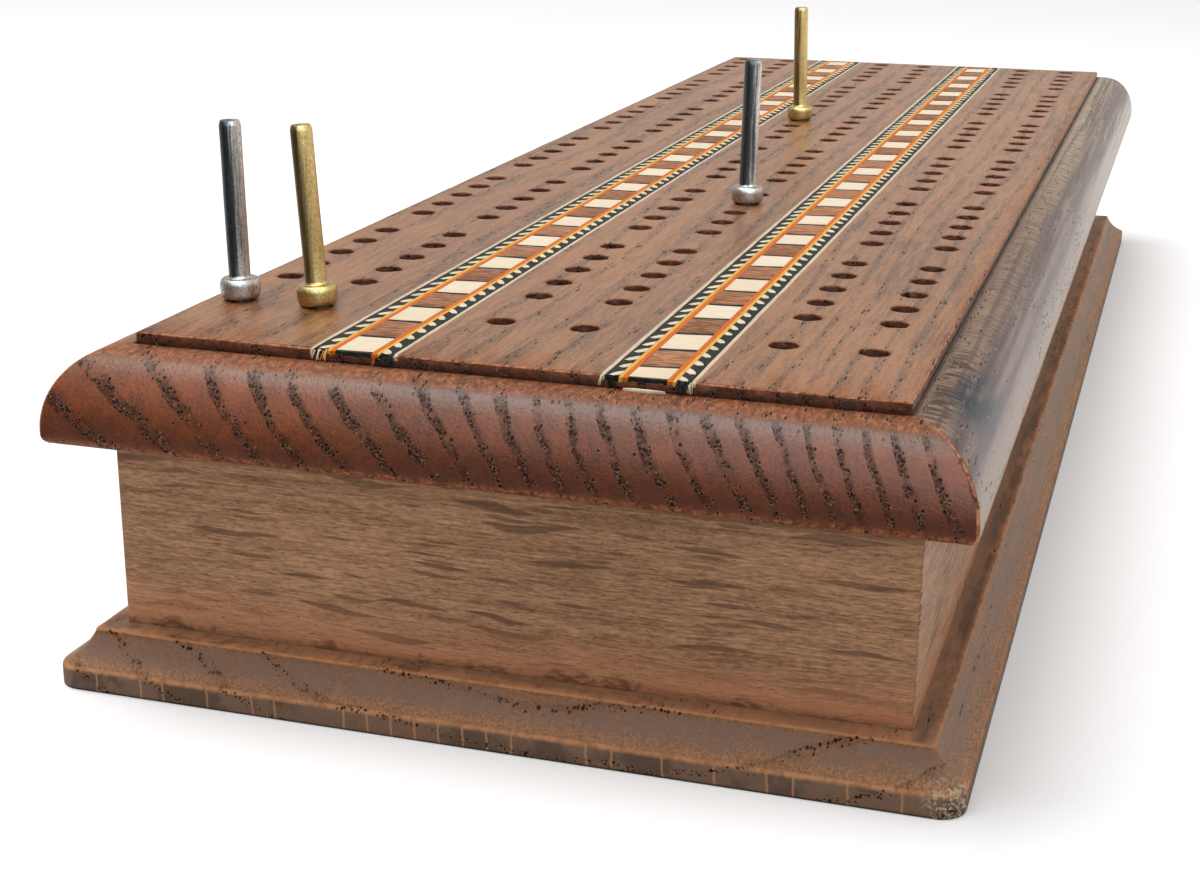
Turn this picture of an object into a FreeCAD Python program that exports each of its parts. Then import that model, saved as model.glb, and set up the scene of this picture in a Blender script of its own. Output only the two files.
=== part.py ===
import FreeCAD, Part
import math
import os

import Sketcher
from FreeCAD import Placement, Rotation, Vector

# A cribbage box with a drawer. A pegging board with a thumbnail-moulded edge is glued on
# a mitred oak case, and the case stands on a coved base. Two bought-in strips of inlay
# banding run the length of the board, between three lanes of peg holes. A dovetailed
# drawer slides into the far end, and four turned metal pegs stand in their holes.
#
# Sizes are in millimetres. +X is the width, +Y runs from the plain end to the drawer end
# and +Z is up. The origin is the centre of the bounding box's underside.

SIZES = {
    # mitred case
    "case_width": 78.0,
    "case_length": 246.6,
    "wall_height": 19.5,
    "wall_thickness": 4.0,
    "end_thickness": 5.0,
    # coved base
    "base_thickness": 5.4,
    "base_ledge": 2.3,
    "cove_width": 3.1,
    "cove_height": 2.8,
    "cove_quirk": 0.3,
    "cove_radius": 6.0,
    "base_corner_radius": 2.5,
    # pegging board
    "board_thickness": 9.9,
    "panel_inset": 2.0,
    "panel_step": 1.1,
    "moulding_land": 1.0,
    "thumbnail_width": 6.0,
    "thumbnail_height": 7.5,
    "underside_round": 0.8,
    # peg holes
    "hole_diameter": 2.8,
    "hole_depth": 7.0,
    "drill_point_angle": 118.0,
    "hole_pitch": 6.5,
    "hole_count": 5,
    "group_pitch": 37.35,
    "group_count": 6,
    "row_spacing": 8.6,
    "row_count": 2,
    "lane_count": 3,
    "left_row_margin": 3.35,
    "right_row_margin": 5.75,
    "first_hole_margin": 26.3,
    "start_hole_gap": 11.3,
    # inlay banding
    "band_depth": 1.0,
    "band_shift": 0.8,
    "ladder_width": 3.6,
    "orange_line_width": 0.5,
    "yellow_line_width": 0.35,
    "rope_width": 1.3,
    "edge_line_width": 0.42,
    "light_block_length": 5.4,
    "brown_block_length": 5.8,
    "black_bar_length": 0.6,
    "least_end_block": 0.8,
    # drawer
    "drawer_side_gap": 0.3,
    "drawer_top_gap": 0.4,
    "drawer_back_gap": 0.5,
    "front_thickness": 6.0,
    "front_lap": 2.0,
    "front_edge_round": 0.5,
    "side_thickness": 2.5,
    "side_drop": 0.5,
    "back_thickness": 3.0,
    "bottom_thickness": 2.0,
    "bottom_lift": 1.6,
    "groove_depth": 1.2,
    "pin_half_width": 1.5,
    "tail_slope": 0.1667,
    "divider_thickness": 2.5,
    "divider_height": 12.0,
    "divider_housing": 0.8,
    "peg_tray_length": 34.0,
    # drawer knob
    "knob_spigot_radius": 1.6,
    "knob_spigot_length": 4.5,
    "knob_rose_radius": 4.2,
    "knob_rose_rim": 0.4,
    "knob_rose_thickness": 1.2,
    "knob_neck_radius": 1.7,
    "knob_neck_length": 2.3,
    "knob_head_radius": 4.0,
    "knob_head_thickness": 4.4,
    "knob_belly_rise": 1.8,
    # pegs
    "peg_height": 18.1,
    "peg_rod_radius": 1.1,
    "peg_collar_radius": 2.05,
    "peg_collar_height": 2.3,
    "peg_collar_round": 0.7,
    "peg_shank_length": 6.0,
    "peg_shank_tip_radius": 0.95,
    "peg_tip_bevel": 0.35,
    "peg_seat_clearance": 0.12,
}

# Clearance past a face for a cutter that has to break out of it.
SPARE = 2.0
# Two levels closer than this are the same level.
SAME_LEVEL = 1e-6
# A cut that removes less than this, in cubic millimetres, has missed.
LEAST_CUT = 1e-3
# Two tails in each corner of the drawer.
TAIL_COUNT = 2

# Each peg: its lane's row, its group of holes, its hole in the group, how far it leans in
# degrees and which way its top leans, counted in degrees from +X towards +Y. Group None
# is the start hole.
PEGS = {
    "steel_peg_near": (0, None, 0, 0.9, 197.0),
    "brass_peg_near": (1, None, 0, 3.4, 197.0),
    "steel_peg_far": (3, 1, 3, 0.9, 17.0),
    "brass_peg_far": (2, 3, 3, 1.4, 197.0),
}

# Sketcher's own name for the sketch origin.
SKETCH_ORIGIN = (-1, 1)


class Size:
    """A size in millimetres together with the sheet formula that it comes from."""

    def __init__(self, value, formula):
        self.value = value
        self.formula = formula

    def combine(self, other, sign, result):
        return Size(result, f"({self.formula} {sign} {other.formula})")

    def __add__(self, other):
        other = as_size(other)
        return self.combine(other, "+", self.value + other.value)

    def __sub__(self, other):
        other = as_size(other)
        return self.combine(other, "-", self.value - other.value)

    def __mul__(self, other):
        other = as_size(other)
        return self.combine(other, "*", self.value * other.value)

    def __truediv__(self, other):
        other = as_size(other)
        return self.combine(other, "/", self.value / other.value)

    def __neg__(self):
        return Size(-self.value, f"(0 - {self.formula})")


def as_size(number):
    """A plain number as a Size."""
    return number if isinstance(number, Size) else Size(float(number), str(number))


def make_sheet(doc):
    """Put the driving sizes into a spreadsheet, one aliased cell each."""
    sheet = doc.addObject("Spreadsheet::Sheet", "Sizes")
    for row, (alias, number) in enumerate(SIZES.items(), start=1):
        sheet.set(f"A{row}", alias)
        sheet.set(f"B{row}", str(number))
        sheet.setAlias(f"B{row}", alias)
    doc.recompute()
    return sheet


DOC = FreeCAD.newDocument("CribbageBox")
SHEET = make_sheet(DOC)


def size(alias):
    """The sheet's size of that name."""
    return Size(float(SHEET.get(alias)), f"Sizes.{alias}")


ZERO = as_size(0)

# Sizes that several pieces share, worked out from the driving ones.
HALF_CASE_WIDTH = size("case_width") / 2
HALF_CASE_LENGTH = size("case_length") / 2
MOULDING_WIDTH = size("moulding_land") + size("thumbnail_width")
HALF_PANEL_WIDTH = HALF_CASE_WIDTH - size("panel_inset")
HALF_PANEL_LENGTH = HALF_CASE_LENGTH - size("panel_inset")
PANEL_LENGTH = HALF_PANEL_LENGTH * 2
HALF_BOARD_WIDTH = HALF_PANEL_WIDTH + MOULDING_WIDTH
HALF_BOARD_LENGTH = HALF_PANEL_LENGTH + MOULDING_WIDTH
BASE_OVERHANG = size("base_ledge") + size("cove_width")
HALF_BASE_WIDTH = HALF_CASE_WIDTH + BASE_OVERHANG
HALF_BASE_LENGTH = HALF_CASE_LENGTH + BASE_OVERHANG

KNOB_REACH = size("knob_rose_thickness") + size("knob_neck_length") + size("knob_head_thickness")
# The knob stands out past the base, so the case sits that much towards the plain end.
CASE_CENTRE_Y = (BASE_OVERHANG - KNOB_REACH) / 2

BASE_TOP = size("base_thickness")
BOARD_UNDERSIDE = BASE_TOP + size("wall_height")
BOARD_TOP = BOARD_UNDERSIDE + size("board_thickness")

FIRST_ROW_X = size("left_row_margin") - HALF_PANEL_WIDTH
LAST_ROW_X = HALF_PANEL_WIDTH - size("right_row_margin")
LANE_WIDTH = size("row_spacing") * (size("row_count") - 1)
LANE_PITCH = (LAST_ROW_X - FIRST_ROW_X - LANE_WIDTH) / (size("lane_count") - 1)
FIRST_HOLE_Y = size("first_hole_margin") - HALF_PANEL_LENGTH
START_HOLE_Y = FIRST_HOLE_Y - size("start_hole_gap")

HALF_LADDER = size("ladder_width") / 2
ORANGE_EDGE = HALF_LADDER + size("orange_line_width")
YELLOW_EDGE = ORANGE_EDGE + size("yellow_line_width")
ROPE_EDGE = YELLOW_EDGE + size("rope_width")
HALF_BAND = ROPE_EDGE + size("edge_line_width")
# Each band lies between two lanes, a little to the right of halfway.
LEFT_BAND_X = FIRST_ROW_X + (LANE_WIDTH + LANE_PITCH) / 2 + size("band_shift")
BAND_CENTRES = {"left": LEFT_BAND_X, "right": LEFT_BAND_X + LANE_PITCH}

FRONT_HEIGHT = size("wall_height") - size("drawer_top_gap")
SIDE_HEIGHT = FRONT_HEIGHT - size("side_drop")
HALF_DRAWER_WIDTH = HALF_CASE_WIDTH - size("wall_thickness") - size("drawer_side_gap")
HALF_DRAWER_INSIDE = HALF_DRAWER_WIDTH - size("side_thickness")
DRAWER_BACK_Y = size("end_thickness") + size("drawer_back_gap") - HALF_CASE_LENGTH
FRONT_INNER_Y = HALF_CASE_LENGTH - size("front_thickness")
BOTTOM_TOP = size("bottom_lift") + size("bottom_thickness")


# Document helpers

def bind(item, path, value):
    """Drive one property of an object by a Size."""
    item.setExpression(path, as_size(value).formula)


def new_body(label, x=ZERO, y=ZERO, z=ZERO):
    """A body with its own label, placed by the sheet."""
    body = DOC.addObject("PartDesign::Body", label)
    body.Label = label
    for axis, value in (("x", x), ("y", y), ("z", z)):
        bind(body, f"Placement.Base.{axis}", value)
    return body


def origin_feature(body, role):
    """One of the body's own origin planes or axes."""
    return next(item for item in body.Origin.OriginFeatures if item.Role == role)


def new_sketch(body, name, role, height=ZERO):
    """A sketch on an origin plane of the body, raised by a height along its normal."""
    sketch = body.newObject("Sketcher::SketchObject", name)
    sketch.AttachmentSupport = [(origin_feature(body, role), "")]
    sketch.MapMode = "FlatFace"
    bind(sketch, "AttachmentOffset.Base.z", height)
    return sketch


def constrain(sketch, kind, value, *elements):
    """Add one driving constraint whose datum follows the sheet."""
    index = sketch.addConstraint(Sketcher.Constraint(kind, *elements, value.value))
    bind(sketch, f"Constraints[{index}]", value)


def fix_point(sketch, geometry, point, corner):
    """Hold a point of the sketch at a corner given as two Sizes."""
    for kind, value in zip(("DistanceX", "DistanceY"), corner):
        constrain(sketch, kind, value, *SKETCH_ORIGIN, geometry, point)


def as_vector(corner):
    return Vector(corner[0].value, corner[1].value, 0)


def quarter_ellipse(start, end, centre):
    """The ellipse through two corners that each lie straight out from its centre."""
    across = max(abs((start - centre).x), abs((end - centre).x))
    upward = max(abs((start - centre).y), abs((end - centre).y))
    if across > upward:
        return Part.Ellipse(centre, across, upward), "Horizontal"
    ellipse = Part.Ellipse(centre + Vector(0, upward, 0), centre - Vector(across, 0, 0), centre)
    return ellipse, "Vertical"


def draw_arc(sketch, start, end, curve):
    """Draw a curved side of an outline. Returns its geometry and its two point numbers."""
    kind, detail = curve
    begin, finish = as_vector(start), as_vector(end)
    if kind == "ellipse":
        centre = as_vector(detail)
        ellipse, along = quarter_ellipse(begin, finish, centre)
        turns_left = (begin - centre).cross(finish - centre).z > 0
        first, last = (begin, finish) if turns_left else (finish, begin)
        arc = Part.ArcOfEllipse(ellipse, ellipse.parameter(first), ellipse.parameter(last))
        geometry = sketch.addGeometry(arc)
        sketch.exposeInternalGeometry(geometry)
        sketch.addConstraint(Sketcher.Constraint(along, geometry + 1))
        fix_point(sketch, geometry, 3, detail)
    else:
        radius, turns_left = detail
        chord = finish - begin
        rise = math.sqrt(radius.value ** 2 - (chord.Length / 2) ** 2)
        side = Vector(-chord.y, chord.x, 0) / chord.Length * (rise if turns_left else -rise)
        centre = (begin + finish) / 2 + side
        first, last = (begin, finish) if turns_left else (finish, begin)
        circle = Part.Circle(centre, Vector(0, 0, 1), radius.value)
        arc = Part.ArcOfCircle(circle, circle.parameter(first), circle.parameter(last))
        geometry = sketch.addGeometry(arc)
        constrain(sketch, "Radius", radius, geometry)
    return (geometry, 1, 2) if turns_left else (geometry, 2, 1)


def draw_outline(sketch, corners, curves=None):
    """Draw a closed outline through corners of two Sizes each.

    A side that isn't straight is listed in curves under the number of its first corner:
    ("ellipse", centre) or ("circle", (radius, turns_left)).
    """
    curves = curves or {}
    sides = []
    for number, start in enumerate(corners):
        end = corners[(number + 1) % len(corners)]
        if number in curves:
            sides.append(draw_arc(sketch, start, end, curves[number]))
        else:
            line = Part.LineSegment(as_vector(start), as_vector(end))
            sides.append((sketch.addGeometry(line), 1, 2))
    for number, (geometry, begin, _) in enumerate(sides):
        before, _, finish = sides[number - 1]
        sketch.addConstraint(Sketcher.Constraint("Coincident", before, finish, geometry, begin))
        fix_point(sketch, geometry, begin, corners[number])


def draw_rectangle(sketch, low, high):
    """Draw a rectangle between its low and its high corner."""
    draw_outline(sketch, [low, (high[0], low[1]), high, (low[0], high[1])])


def draw_circle(sketch, centre, radius):
    """Draw a circle."""
    circle = Part.Circle(as_vector(centre), Vector(0, 0, 1), radius.value)
    geometry = sketch.addGeometry(circle)
    constrain(sketch, "Radius", radius, geometry)
    fix_point(sketch, geometry, 3, centre)


def pad(body, sketch, length, symmetric=False):
    """Pad a sketch along its normal, or to both sides of it."""
    feature = body.newObject("PartDesign::Pad", f"{sketch.Name}Pad")
    feature.Profile = sketch
    feature.SideType = "Symmetric" if symmetric else "One side"
    bind(feature, "Length", length)
    DOC.recompute()
    return feature


def check_removed(body, volume_before):
    """A cutter that points away from the solid removes nothing, which is a mistake."""
    if body.Shape.Volume > volume_before - LEAST_CUT:
        raise ValueError(f"{body.Label}: {body.Tip.Name} removes nothing")


def pocket(body, sketch, depth, symmetric=False):
    """Cut a sketch into the body against its normal, or to both sides of it."""
    volume_before = body.Shape.Volume
    feature = body.newObject("PartDesign::Pocket", f"{sketch.Name}Pocket")
    feature.Profile = sketch
    feature.SideType = "Symmetric" if symmetric else "One side"
    bind(feature, "Length", depth)
    DOC.recompute()
    check_removed(body, volume_before)
    return feature


def mirror(body, feature, role):
    """Repeat a feature across one of the body's origin planes."""
    mirrored = body.newObject("PartDesign::Mirrored", f"{feature.Name}Mirrored")
    mirrored.Originals = [feature]
    mirrored.MirrorPlane = (origin_feature(body, role), [""])
    body.Tip = mirrored
    DOC.recompute()
    return mirrored


def set_spacing(pattern, body, role, spacing, count):
    """Space a linear pattern along an origin axis of the body."""
    pattern.Direction = (origin_feature(body, role), [""])
    pattern.Mode = "Spacing"
    bind(pattern, "Offset", spacing)
    bind(pattern, "Occurrences", count)


def repeat(body, feature, role, spacing, count):
    """Repeat a feature in a row."""
    pattern = body.newObject("PartDesign::LinearPattern", f"{feature.Name}Row")
    pattern.Originals = [feature]
    set_spacing(pattern, body, role, spacing, count)
    body.Tip = pattern
    DOC.recompute()


def repeat_in_grid(body, feature, rows):
    """Repeat a feature by several rows at once, each (axis role, spacing, count)."""
    grid = body.newObject("PartDesign::MultiTransform", f"{feature.Name}Grid")
    grid.Originals = [feature]
    steps = []
    for number, (role, spacing, count) in enumerate(rows):
        step = DOC.addObject("PartDesign::LinearPattern", f"{feature.Name}Step{number}")
        body.addObject(step)
        set_spacing(step, body, role, spacing, count)
        steps.append(step)
    grid.Transformations = steps
    body.Tip = grid
    DOC.recompute()


def round_edges(body, radius, wanted):
    """Fillet the edges of the body's last feature that pass a test."""
    base = body.Tip
    names = [
        f"Edge{number}"
        for number, edge in enumerate(base.Shape.Edges, start=1)
        if wanted(edge.BoundBox)
    ]
    fillet = body.newObject("PartDesign::Fillet", f"{base.Name}Fillet")
    fillet.Base = (base, names)
    bind(fillet, "Radius", radius)
    DOC.recompute()


def lies_at(low, high, level):
    """Whether an edge's extent along one axis is a single level."""
    return abs(low - level) < SAME_LEVEL and abs(high - level) < SAME_LEVEL


# Pieces of the case

def make_board():
    """The pegging board: moulded on four sides, channelled for two bands and drilled."""
    body = new_body("pegging_board", y=CASE_CENTRE_Y, z=BOARD_UNDERSIDE)
    top = size("board_thickness")
    land_level = top - size("panel_step")
    thumbnail_foot = land_level - size("thumbnail_height")
    blank = new_sketch(body, "BoardBlank", "XY_Plane")
    draw_rectangle(
        blank, (-HALF_BOARD_WIDTH, -HALF_BOARD_LENGTH), (HALF_BOARD_WIDTH, HALF_BOARD_LENGTH)
    )
    pad(body, blank, top)
    round_edges(body, size("underside_round"), lambda box: lies_at(box.ZMin, box.ZMax, 0))

    edges = (
        ("Side", "XZ_Plane", "YZ_Plane", HALF_PANEL_WIDTH, HALF_BOARD_LENGTH),
        ("End", "YZ_Plane", "XZ_Plane", HALF_PANEL_LENGTH, HALF_BOARD_WIDTH),
    )
    for name, plane, mirror_plane, panel_edge, half_run in edges:
        land_edge = panel_edge + size("moulding_land")
        board_edge = panel_edge + MOULDING_WIDTH
        cutter = new_sketch(body, f"{name}Moulding", plane)
        corners = [
            (panel_edge, top + SPARE),
            (panel_edge, land_level),
            (land_edge, land_level),
            (board_edge, thumbnail_foot),
            (board_edge + SPARE, thumbnail_foot),
            (board_edge + SPARE, top + SPARE),
        ]
        draw_outline(cutter, corners, {2: ("ellipse", (land_edge, thumbnail_foot))})
        feature = pocket(body, cutter, (half_run + SPARE) * 2, symmetric=True)
        mirror(body, feature, mirror_plane)

    channels = new_sketch(body, "BandChannels", "XY_Plane", top)
    end = HALF_PANEL_LENGTH + SPARE
    for centre in BAND_CENTRES.values():
        draw_rectangle(channels, (centre - HALF_BAND, -end), (centre + HALF_BAND, end))
    pocket(body, channels, size("band_depth"))

    across = [
        ("X_Axis", size("row_spacing"), size("row_count")),
        ("X_Axis", LANE_PITCH, size("lane_count")),
    ]
    along = [
        ("Y_Axis", size("hole_pitch"), size("hole_count")),
        ("Y_Axis", size("group_pitch"), size("group_count")),
    ]
    drill(body, "StartHole", START_HOLE_Y, across)
    drill(body, "GroupHole", FIRST_HOLE_Y, across + along)
    return body


def drill(body, name, y, rows):
    """Drill a peg hole in the first row and repeat it in a grid."""
    sketch = new_sketch(body, name, "XY_Plane", size("board_thickness"))
    draw_circle(sketch, (FIRST_ROW_X, y), size("hole_diameter") / 2)
    DOC.recompute()
    volume_before = body.Shape.Volume
    hole = body.newObject("PartDesign::Hole", f"{name}Drilled")
    hole.Profile = sketch
    DOC.recompute()
    hole.DepthType = "Dimension"
    hole.DrillPoint = "Angled"
    bind(hole, "Diameter", size("hole_diameter"))
    bind(hole, "Depth", size("hole_depth"))
    bind(hole, "DrillPointAngle", size("drill_point_angle"))
    DOC.recompute()
    check_removed(body, volume_before)
    repeat_in_grid(body, hole, rows)


def make_base():
    """The base: a board with rounded corners and a cove worked along its four edges."""
    body = new_body("base_board", y=CASE_CENTRE_Y)
    top = size("base_thickness")
    cove_top = top - size("cove_quirk")
    cove_foot = cove_top - size("cove_height")
    blank = new_sketch(body, "BaseBlank", "XY_Plane")
    draw_rectangle(
        blank, (-HALF_BASE_WIDTH, -HALF_BASE_LENGTH), (HALF_BASE_WIDTH, HALF_BASE_LENGTH)
    )
    pad(body, blank, top)
    round_edges(body, size("base_corner_radius"), lambda box: box.ZLength > top.value / 2)
    edges = (
        ("BaseSide", "XZ_Plane", "YZ_Plane", HALF_CASE_WIDTH, HALF_BASE_LENGTH),
        ("BaseEnd", "YZ_Plane", "XZ_Plane", HALF_CASE_LENGTH, HALF_BASE_WIDTH),
    )
    for name, plane, mirror_plane, wall_face, half_run in edges:
        ledge = wall_face + size("base_ledge")
        edge = wall_face + BASE_OVERHANG
        cutter = new_sketch(body, f"{name}Cove", plane)
        corners = [
            (ledge, top + SPARE),
            (ledge, cove_top),
            (edge, cove_foot),
            (edge + SPARE, cove_foot),
            (edge + SPARE, top + SPARE),
        ]
        draw_outline(cutter, corners, {1: ("circle", (size("cove_radius"), True))})
        feature = pocket(body, cutter, (half_run + SPARE) * 2, symmetric=True)
        mirror(body, feature, mirror_plane)
    return body


def make_walls():
    """Two side walls and the end wall, mitred where they meet."""
    inner_x = HALF_CASE_WIDTH - size("wall_thickness")
    inner_y = size("end_thickness") - HALF_CASE_LENGTH
    outlines = {
        "left_side_wall": [
            (-HALF_CASE_WIDTH, -HALF_CASE_LENGTH),
            (-inner_x, inner_y),
            (-inner_x, HALF_CASE_LENGTH),
            (-HALF_CASE_WIDTH, HALF_CASE_LENGTH),
        ],
        "right_side_wall": [
            (HALF_CASE_WIDTH, -HALF_CASE_LENGTH),
            (HALF_CASE_WIDTH, HALF_CASE_LENGTH),
            (inner_x, HALF_CASE_LENGTH),
            (inner_x, inner_y),
        ],
        "end_wall": [
            (-HALF_CASE_WIDTH, -HALF_CASE_LENGTH),
            (HALF_CASE_WIDTH, -HALF_CASE_LENGTH),
            (inner_x, inner_y),
            (-inner_x, inner_y),
        ],
    }
    walls = []
    for label, corners in outlines.items():
        body = new_body(label, y=CASE_CENTRE_Y, z=BASE_TOP)
        plan = new_sketch(body, f"{label}_plan", "XY_Plane")
        draw_outline(plan, corners)
        pad(body, plan, size("wall_height"))
        walls.append(body)
    return walls


# Inlay banding

def new_band_body(band, name):
    """A body whose origin is on the band's centre line, at the panel's near edge."""
    return new_body(
        f"{band}_band_{name}",
        x=BAND_CENTRES[band],
        y=CASE_CENTRE_Y - HALF_PANEL_LENGTH,
        z=BOARD_TOP - size("band_depth"),
    )


def make_strips(band, name, inner, outer):
    """Two long strips, one on each side of the band's centre line."""
    body = new_band_body(band, name)
    plan = new_sketch(body, f"{body.Name}_plan", "XY_Plane")
    draw_rectangle(plan, (inner, ZERO), (outer, PANEL_LENGTH))
    strip = pad(body, plan, size("band_depth"))
    mirror(body, strip, "YZ_Plane")
    return body


def pad_cross_pieces(body, name, spans):
    """Pad pieces that lie across the ladder, each from one distance to another."""
    plan = new_sketch(body, f"{body.Name}_{name}", "XY_Plane")
    for start, end in spans:
        draw_rectangle(plan, (-HALF_LADDER, start), (HALF_LADDER, end))
    return pad(body, plan, size("band_depth"))


def make_ladder(band):
    """Light and brown blocks in turn, with a black bar between them.

    The ladder starts on a whole light block. What is left past its last whole repeat
    is closed by a light block, a bar and a cut brown block.
    """
    light = size("light_block_length")
    brown = size("brown_block_length")
    bar = size("black_bar_length")
    period = light + brown + bar * 2
    end_pieces = light + bar + size("least_end_block")
    repeats = math.floor((PANEL_LENGTH - end_pieces).value / period.value)
    last_light = period * repeats
    first_bar = light
    second_bar = light + bar + brown

    light_body = new_band_body(band, "light_blocks")
    blocks = pad_cross_pieces(light_body, "block", [(ZERO, light)])
    repeat(light_body, blocks, "Y_Axis", period, repeats + 1)

    brown_body = new_band_body(band, "brown_blocks")
    blocks = pad_cross_pieces(brown_body, "block", [(light + bar, second_bar)])
    repeat(brown_body, blocks, "Y_Axis", period, repeats)
    pad_cross_pieces(brown_body, "end", [(last_light + light + bar, PANEL_LENGTH)])

    bar_body = new_band_body(band, "black_bars")
    spans = [(first_bar, first_bar + bar), (second_bar, second_bar + bar)]
    bars = pad_cross_pieces(bar_body, "bars", spans)
    repeat(bar_body, bars, "Y_Axis", period, repeats)
    last_bar = last_light + light
    pad_cross_pieces(bar_body, "end", [(last_bar, last_bar + bar)])
    return [light_body, brown_body, bar_body]


def make_band(band):
    """One strip of banding: a ladder between lines, ropes and edge lines."""
    strips = {
        "orange_lines": (HALF_LADDER, ORANGE_EDGE),
        "yellow_lines": (ORANGE_EDGE, YELLOW_EDGE),
        "ropes": (YELLOW_EDGE, ROPE_EDGE),
        "edge_lines": (ROPE_EDGE, HALF_BAND),
    }
    lines = [make_strips(band, name, *edges) for name, edges in strips.items()]
    return make_ladder(band) + lines


# Drawer

def tail_corners(root, tip, upward):
    """The corners of the dovetails along one end of a drawer side."""
    pitch = SIDE_HEIGHT / TAIL_COUNT
    root_half = pitch / 2 - size("pin_half_width")
    length = tip - root if tip.value > root.value else root - tip
    tip_half = root_half + length * size("tail_slope")
    corners = []
    for number in range(TAIL_COUNT):
        centre = pitch * (number + 0.5)
        corners += [
            (root, centre - root_half),
            (tip, centre - tip_half),
            (tip, centre + tip_half),
            (root, centre + root_half),
        ]
    return corners if upward else corners[::-1]


def make_side_blank(label, inner_x):
    """A drawer side with dovetails cut on both its ends, before it is grooved."""
    body = new_body(label, y=CASE_CENTRE_Y, z=BASE_TOP)
    back_root = DRAWER_BACK_Y + size("back_thickness")
    front_tip = HALF_CASE_LENGTH - size("front_lap")
    elevation = new_sketch(body, f"{label}_elevation", "YZ_Plane", inner_x)
    corners = (
        [(back_root, ZERO), (FRONT_INNER_Y, ZERO)]
        + tail_corners(FRONT_INNER_Y, front_tip, upward=True)
        + [(FRONT_INNER_Y, SIDE_HEIGHT), (back_root, SIDE_HEIGHT)]
        + tail_corners(back_root, DRAWER_BACK_Y, upward=False)
    )
    draw_outline(elevation, corners)
    pad(body, elevation, size("side_thickness"))
    return body


def make_slab(label, low, high, bottom, height):
    """A flat rectangular piece of the drawer."""
    body = new_body(label, y=CASE_CENTRE_Y, z=BASE_TOP + bottom)
    plan = new_sketch(body, f"{label}_plan", "XY_Plane")
    draw_rectangle(plan, low, high)
    pad(body, plan, height)
    return body


def make_knob():
    """The turned knob: a spigot, a rose hollowed up to a neck, and a domed head."""
    body = new_body(
        "drawer_knob", y=CASE_CENTRE_Y + HALF_CASE_LENGTH, z=BASE_TOP + FRONT_HEIGHT / 2
    )
    body.Placement.Rotation = Rotation(Vector(1, 0, 0), -90)
    spigot, rose = size("knob_spigot_radius"), size("knob_rose_radius")
    neck, head = size("knob_neck_radius"), size("knob_head_radius")
    rose_top = size("knob_rose_thickness")
    head_foot = rose_top + size("knob_neck_length")
    belly = head_foot + size("knob_belly_rise")
    crown = KNOB_REACH - belly
    # A circle centred on the axis that rises by the crown over the head's radius.
    dome_radius = (head * head + crown * crown) / (crown * 2)
    corners = [
        (ZERO, -size("knob_spigot_length")),
        (spigot, -size("knob_spigot_length")),
        (spigot, ZERO),
        (rose, ZERO),
        (rose, size("knob_rose_rim")),
        (neck, rose_top),
        (neck, head_foot),
        (head, belly),
        (ZERO, KNOB_REACH),
    ]
    curves = {
        4: ("ellipse", (rose, rose_top)),
        6: ("ellipse", (neck, belly)),
        7: ("circle", (dome_radius, True)),
    }
    profile = new_sketch(body, "KnobProfile", "XZ_Plane")
    draw_outline(profile, corners, curves)
    revolve(body, profile)
    return body


def revolve(body, profile):
    """Turn a profile about the sketch's upright axis."""
    feature = body.newObject("PartDesign::Revolution", f"{profile.Name}Turned")
    feature.Profile = profile
    feature.ReferenceAxis = (profile, ["V_Axis"])
    feature.Angle = 360
    DOC.recompute()
    return feature


def cut(label, blank, *tools):
    """A blank with its mating pieces let into it."""
    result = DOC.addObject("Part::Cut", label)
    result.Label = label
    result.Base = blank
    if len(tools) == 1:
        result.Tool = tools[0]
    else:
        gathered = DOC.addObject("Part::Compound", f"{label}_mates")
        gathered.Links = list(tools)
        result.Tool = gathered
    DOC.recompute()
    if result.Shape.Volume > blank.Shape.Volume - LEAST_CUT:
        raise ValueError(f"{label}: nothing is let in")
    return result


def make_drawer():
    """The drawer: lapped dovetails at the front, through dovetails at the back."""
    half_bottom = HALF_DRAWER_INSIDE + size("groove_depth")
    bottom_front = FRONT_INNER_Y + size("groove_depth")
    bottom = make_slab(
        "drawer_bottom",
        (-half_bottom, DRAWER_BACK_Y),
        (half_bottom, bottom_front),
        size("bottom_lift"),
        size("bottom_thickness"),
    )
    half_divider = HALF_DRAWER_INSIDE + size("divider_housing")
    divider_front = FRONT_INNER_Y - size("peg_tray_length")
    divider = make_slab(
        "drawer_divider",
        (-half_divider, divider_front - size("divider_thickness")),
        (half_divider, divider_front),
        BOTTOM_TOP,
        size("divider_height"),
    )
    left_blank = make_side_blank("left_side_blank", -HALF_DRAWER_WIDTH)
    right_blank = make_side_blank("right_side_blank", HALF_DRAWER_INSIDE)
    left = cut("drawer_left_side", left_blank, bottom, divider)
    right = cut("drawer_right_side", right_blank, bottom, divider)

    knob = make_knob()
    front_blank = make_slab(
        "drawer_front_blank",
        (-HALF_DRAWER_WIDTH, FRONT_INNER_Y),
        (HALF_DRAWER_WIDTH, HALF_CASE_LENGTH),
        ZERO,
        FRONT_HEIGHT,
    )
    face = HALF_CASE_LENGTH.value
    round_edges(
        front_blank, size("front_edge_round"), lambda box: lies_at(box.YMin, box.YMax, face)
    )
    front = cut("drawer_front", front_blank, left, right, bottom, knob)

    back_blank = make_slab(
        "drawer_back_blank",
        (-HALF_DRAWER_WIDTH, DRAWER_BACK_Y),
        (HALF_DRAWER_WIDTH, DRAWER_BACK_Y + size("back_thickness")),
        BOTTOM_TOP,
        SIDE_HEIGHT - BOTTOM_TOP,
    )
    back = cut("drawer_back", back_blank, left, right)
    return [front, left, right, back, bottom, divider, knob]


# Pegs

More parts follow.
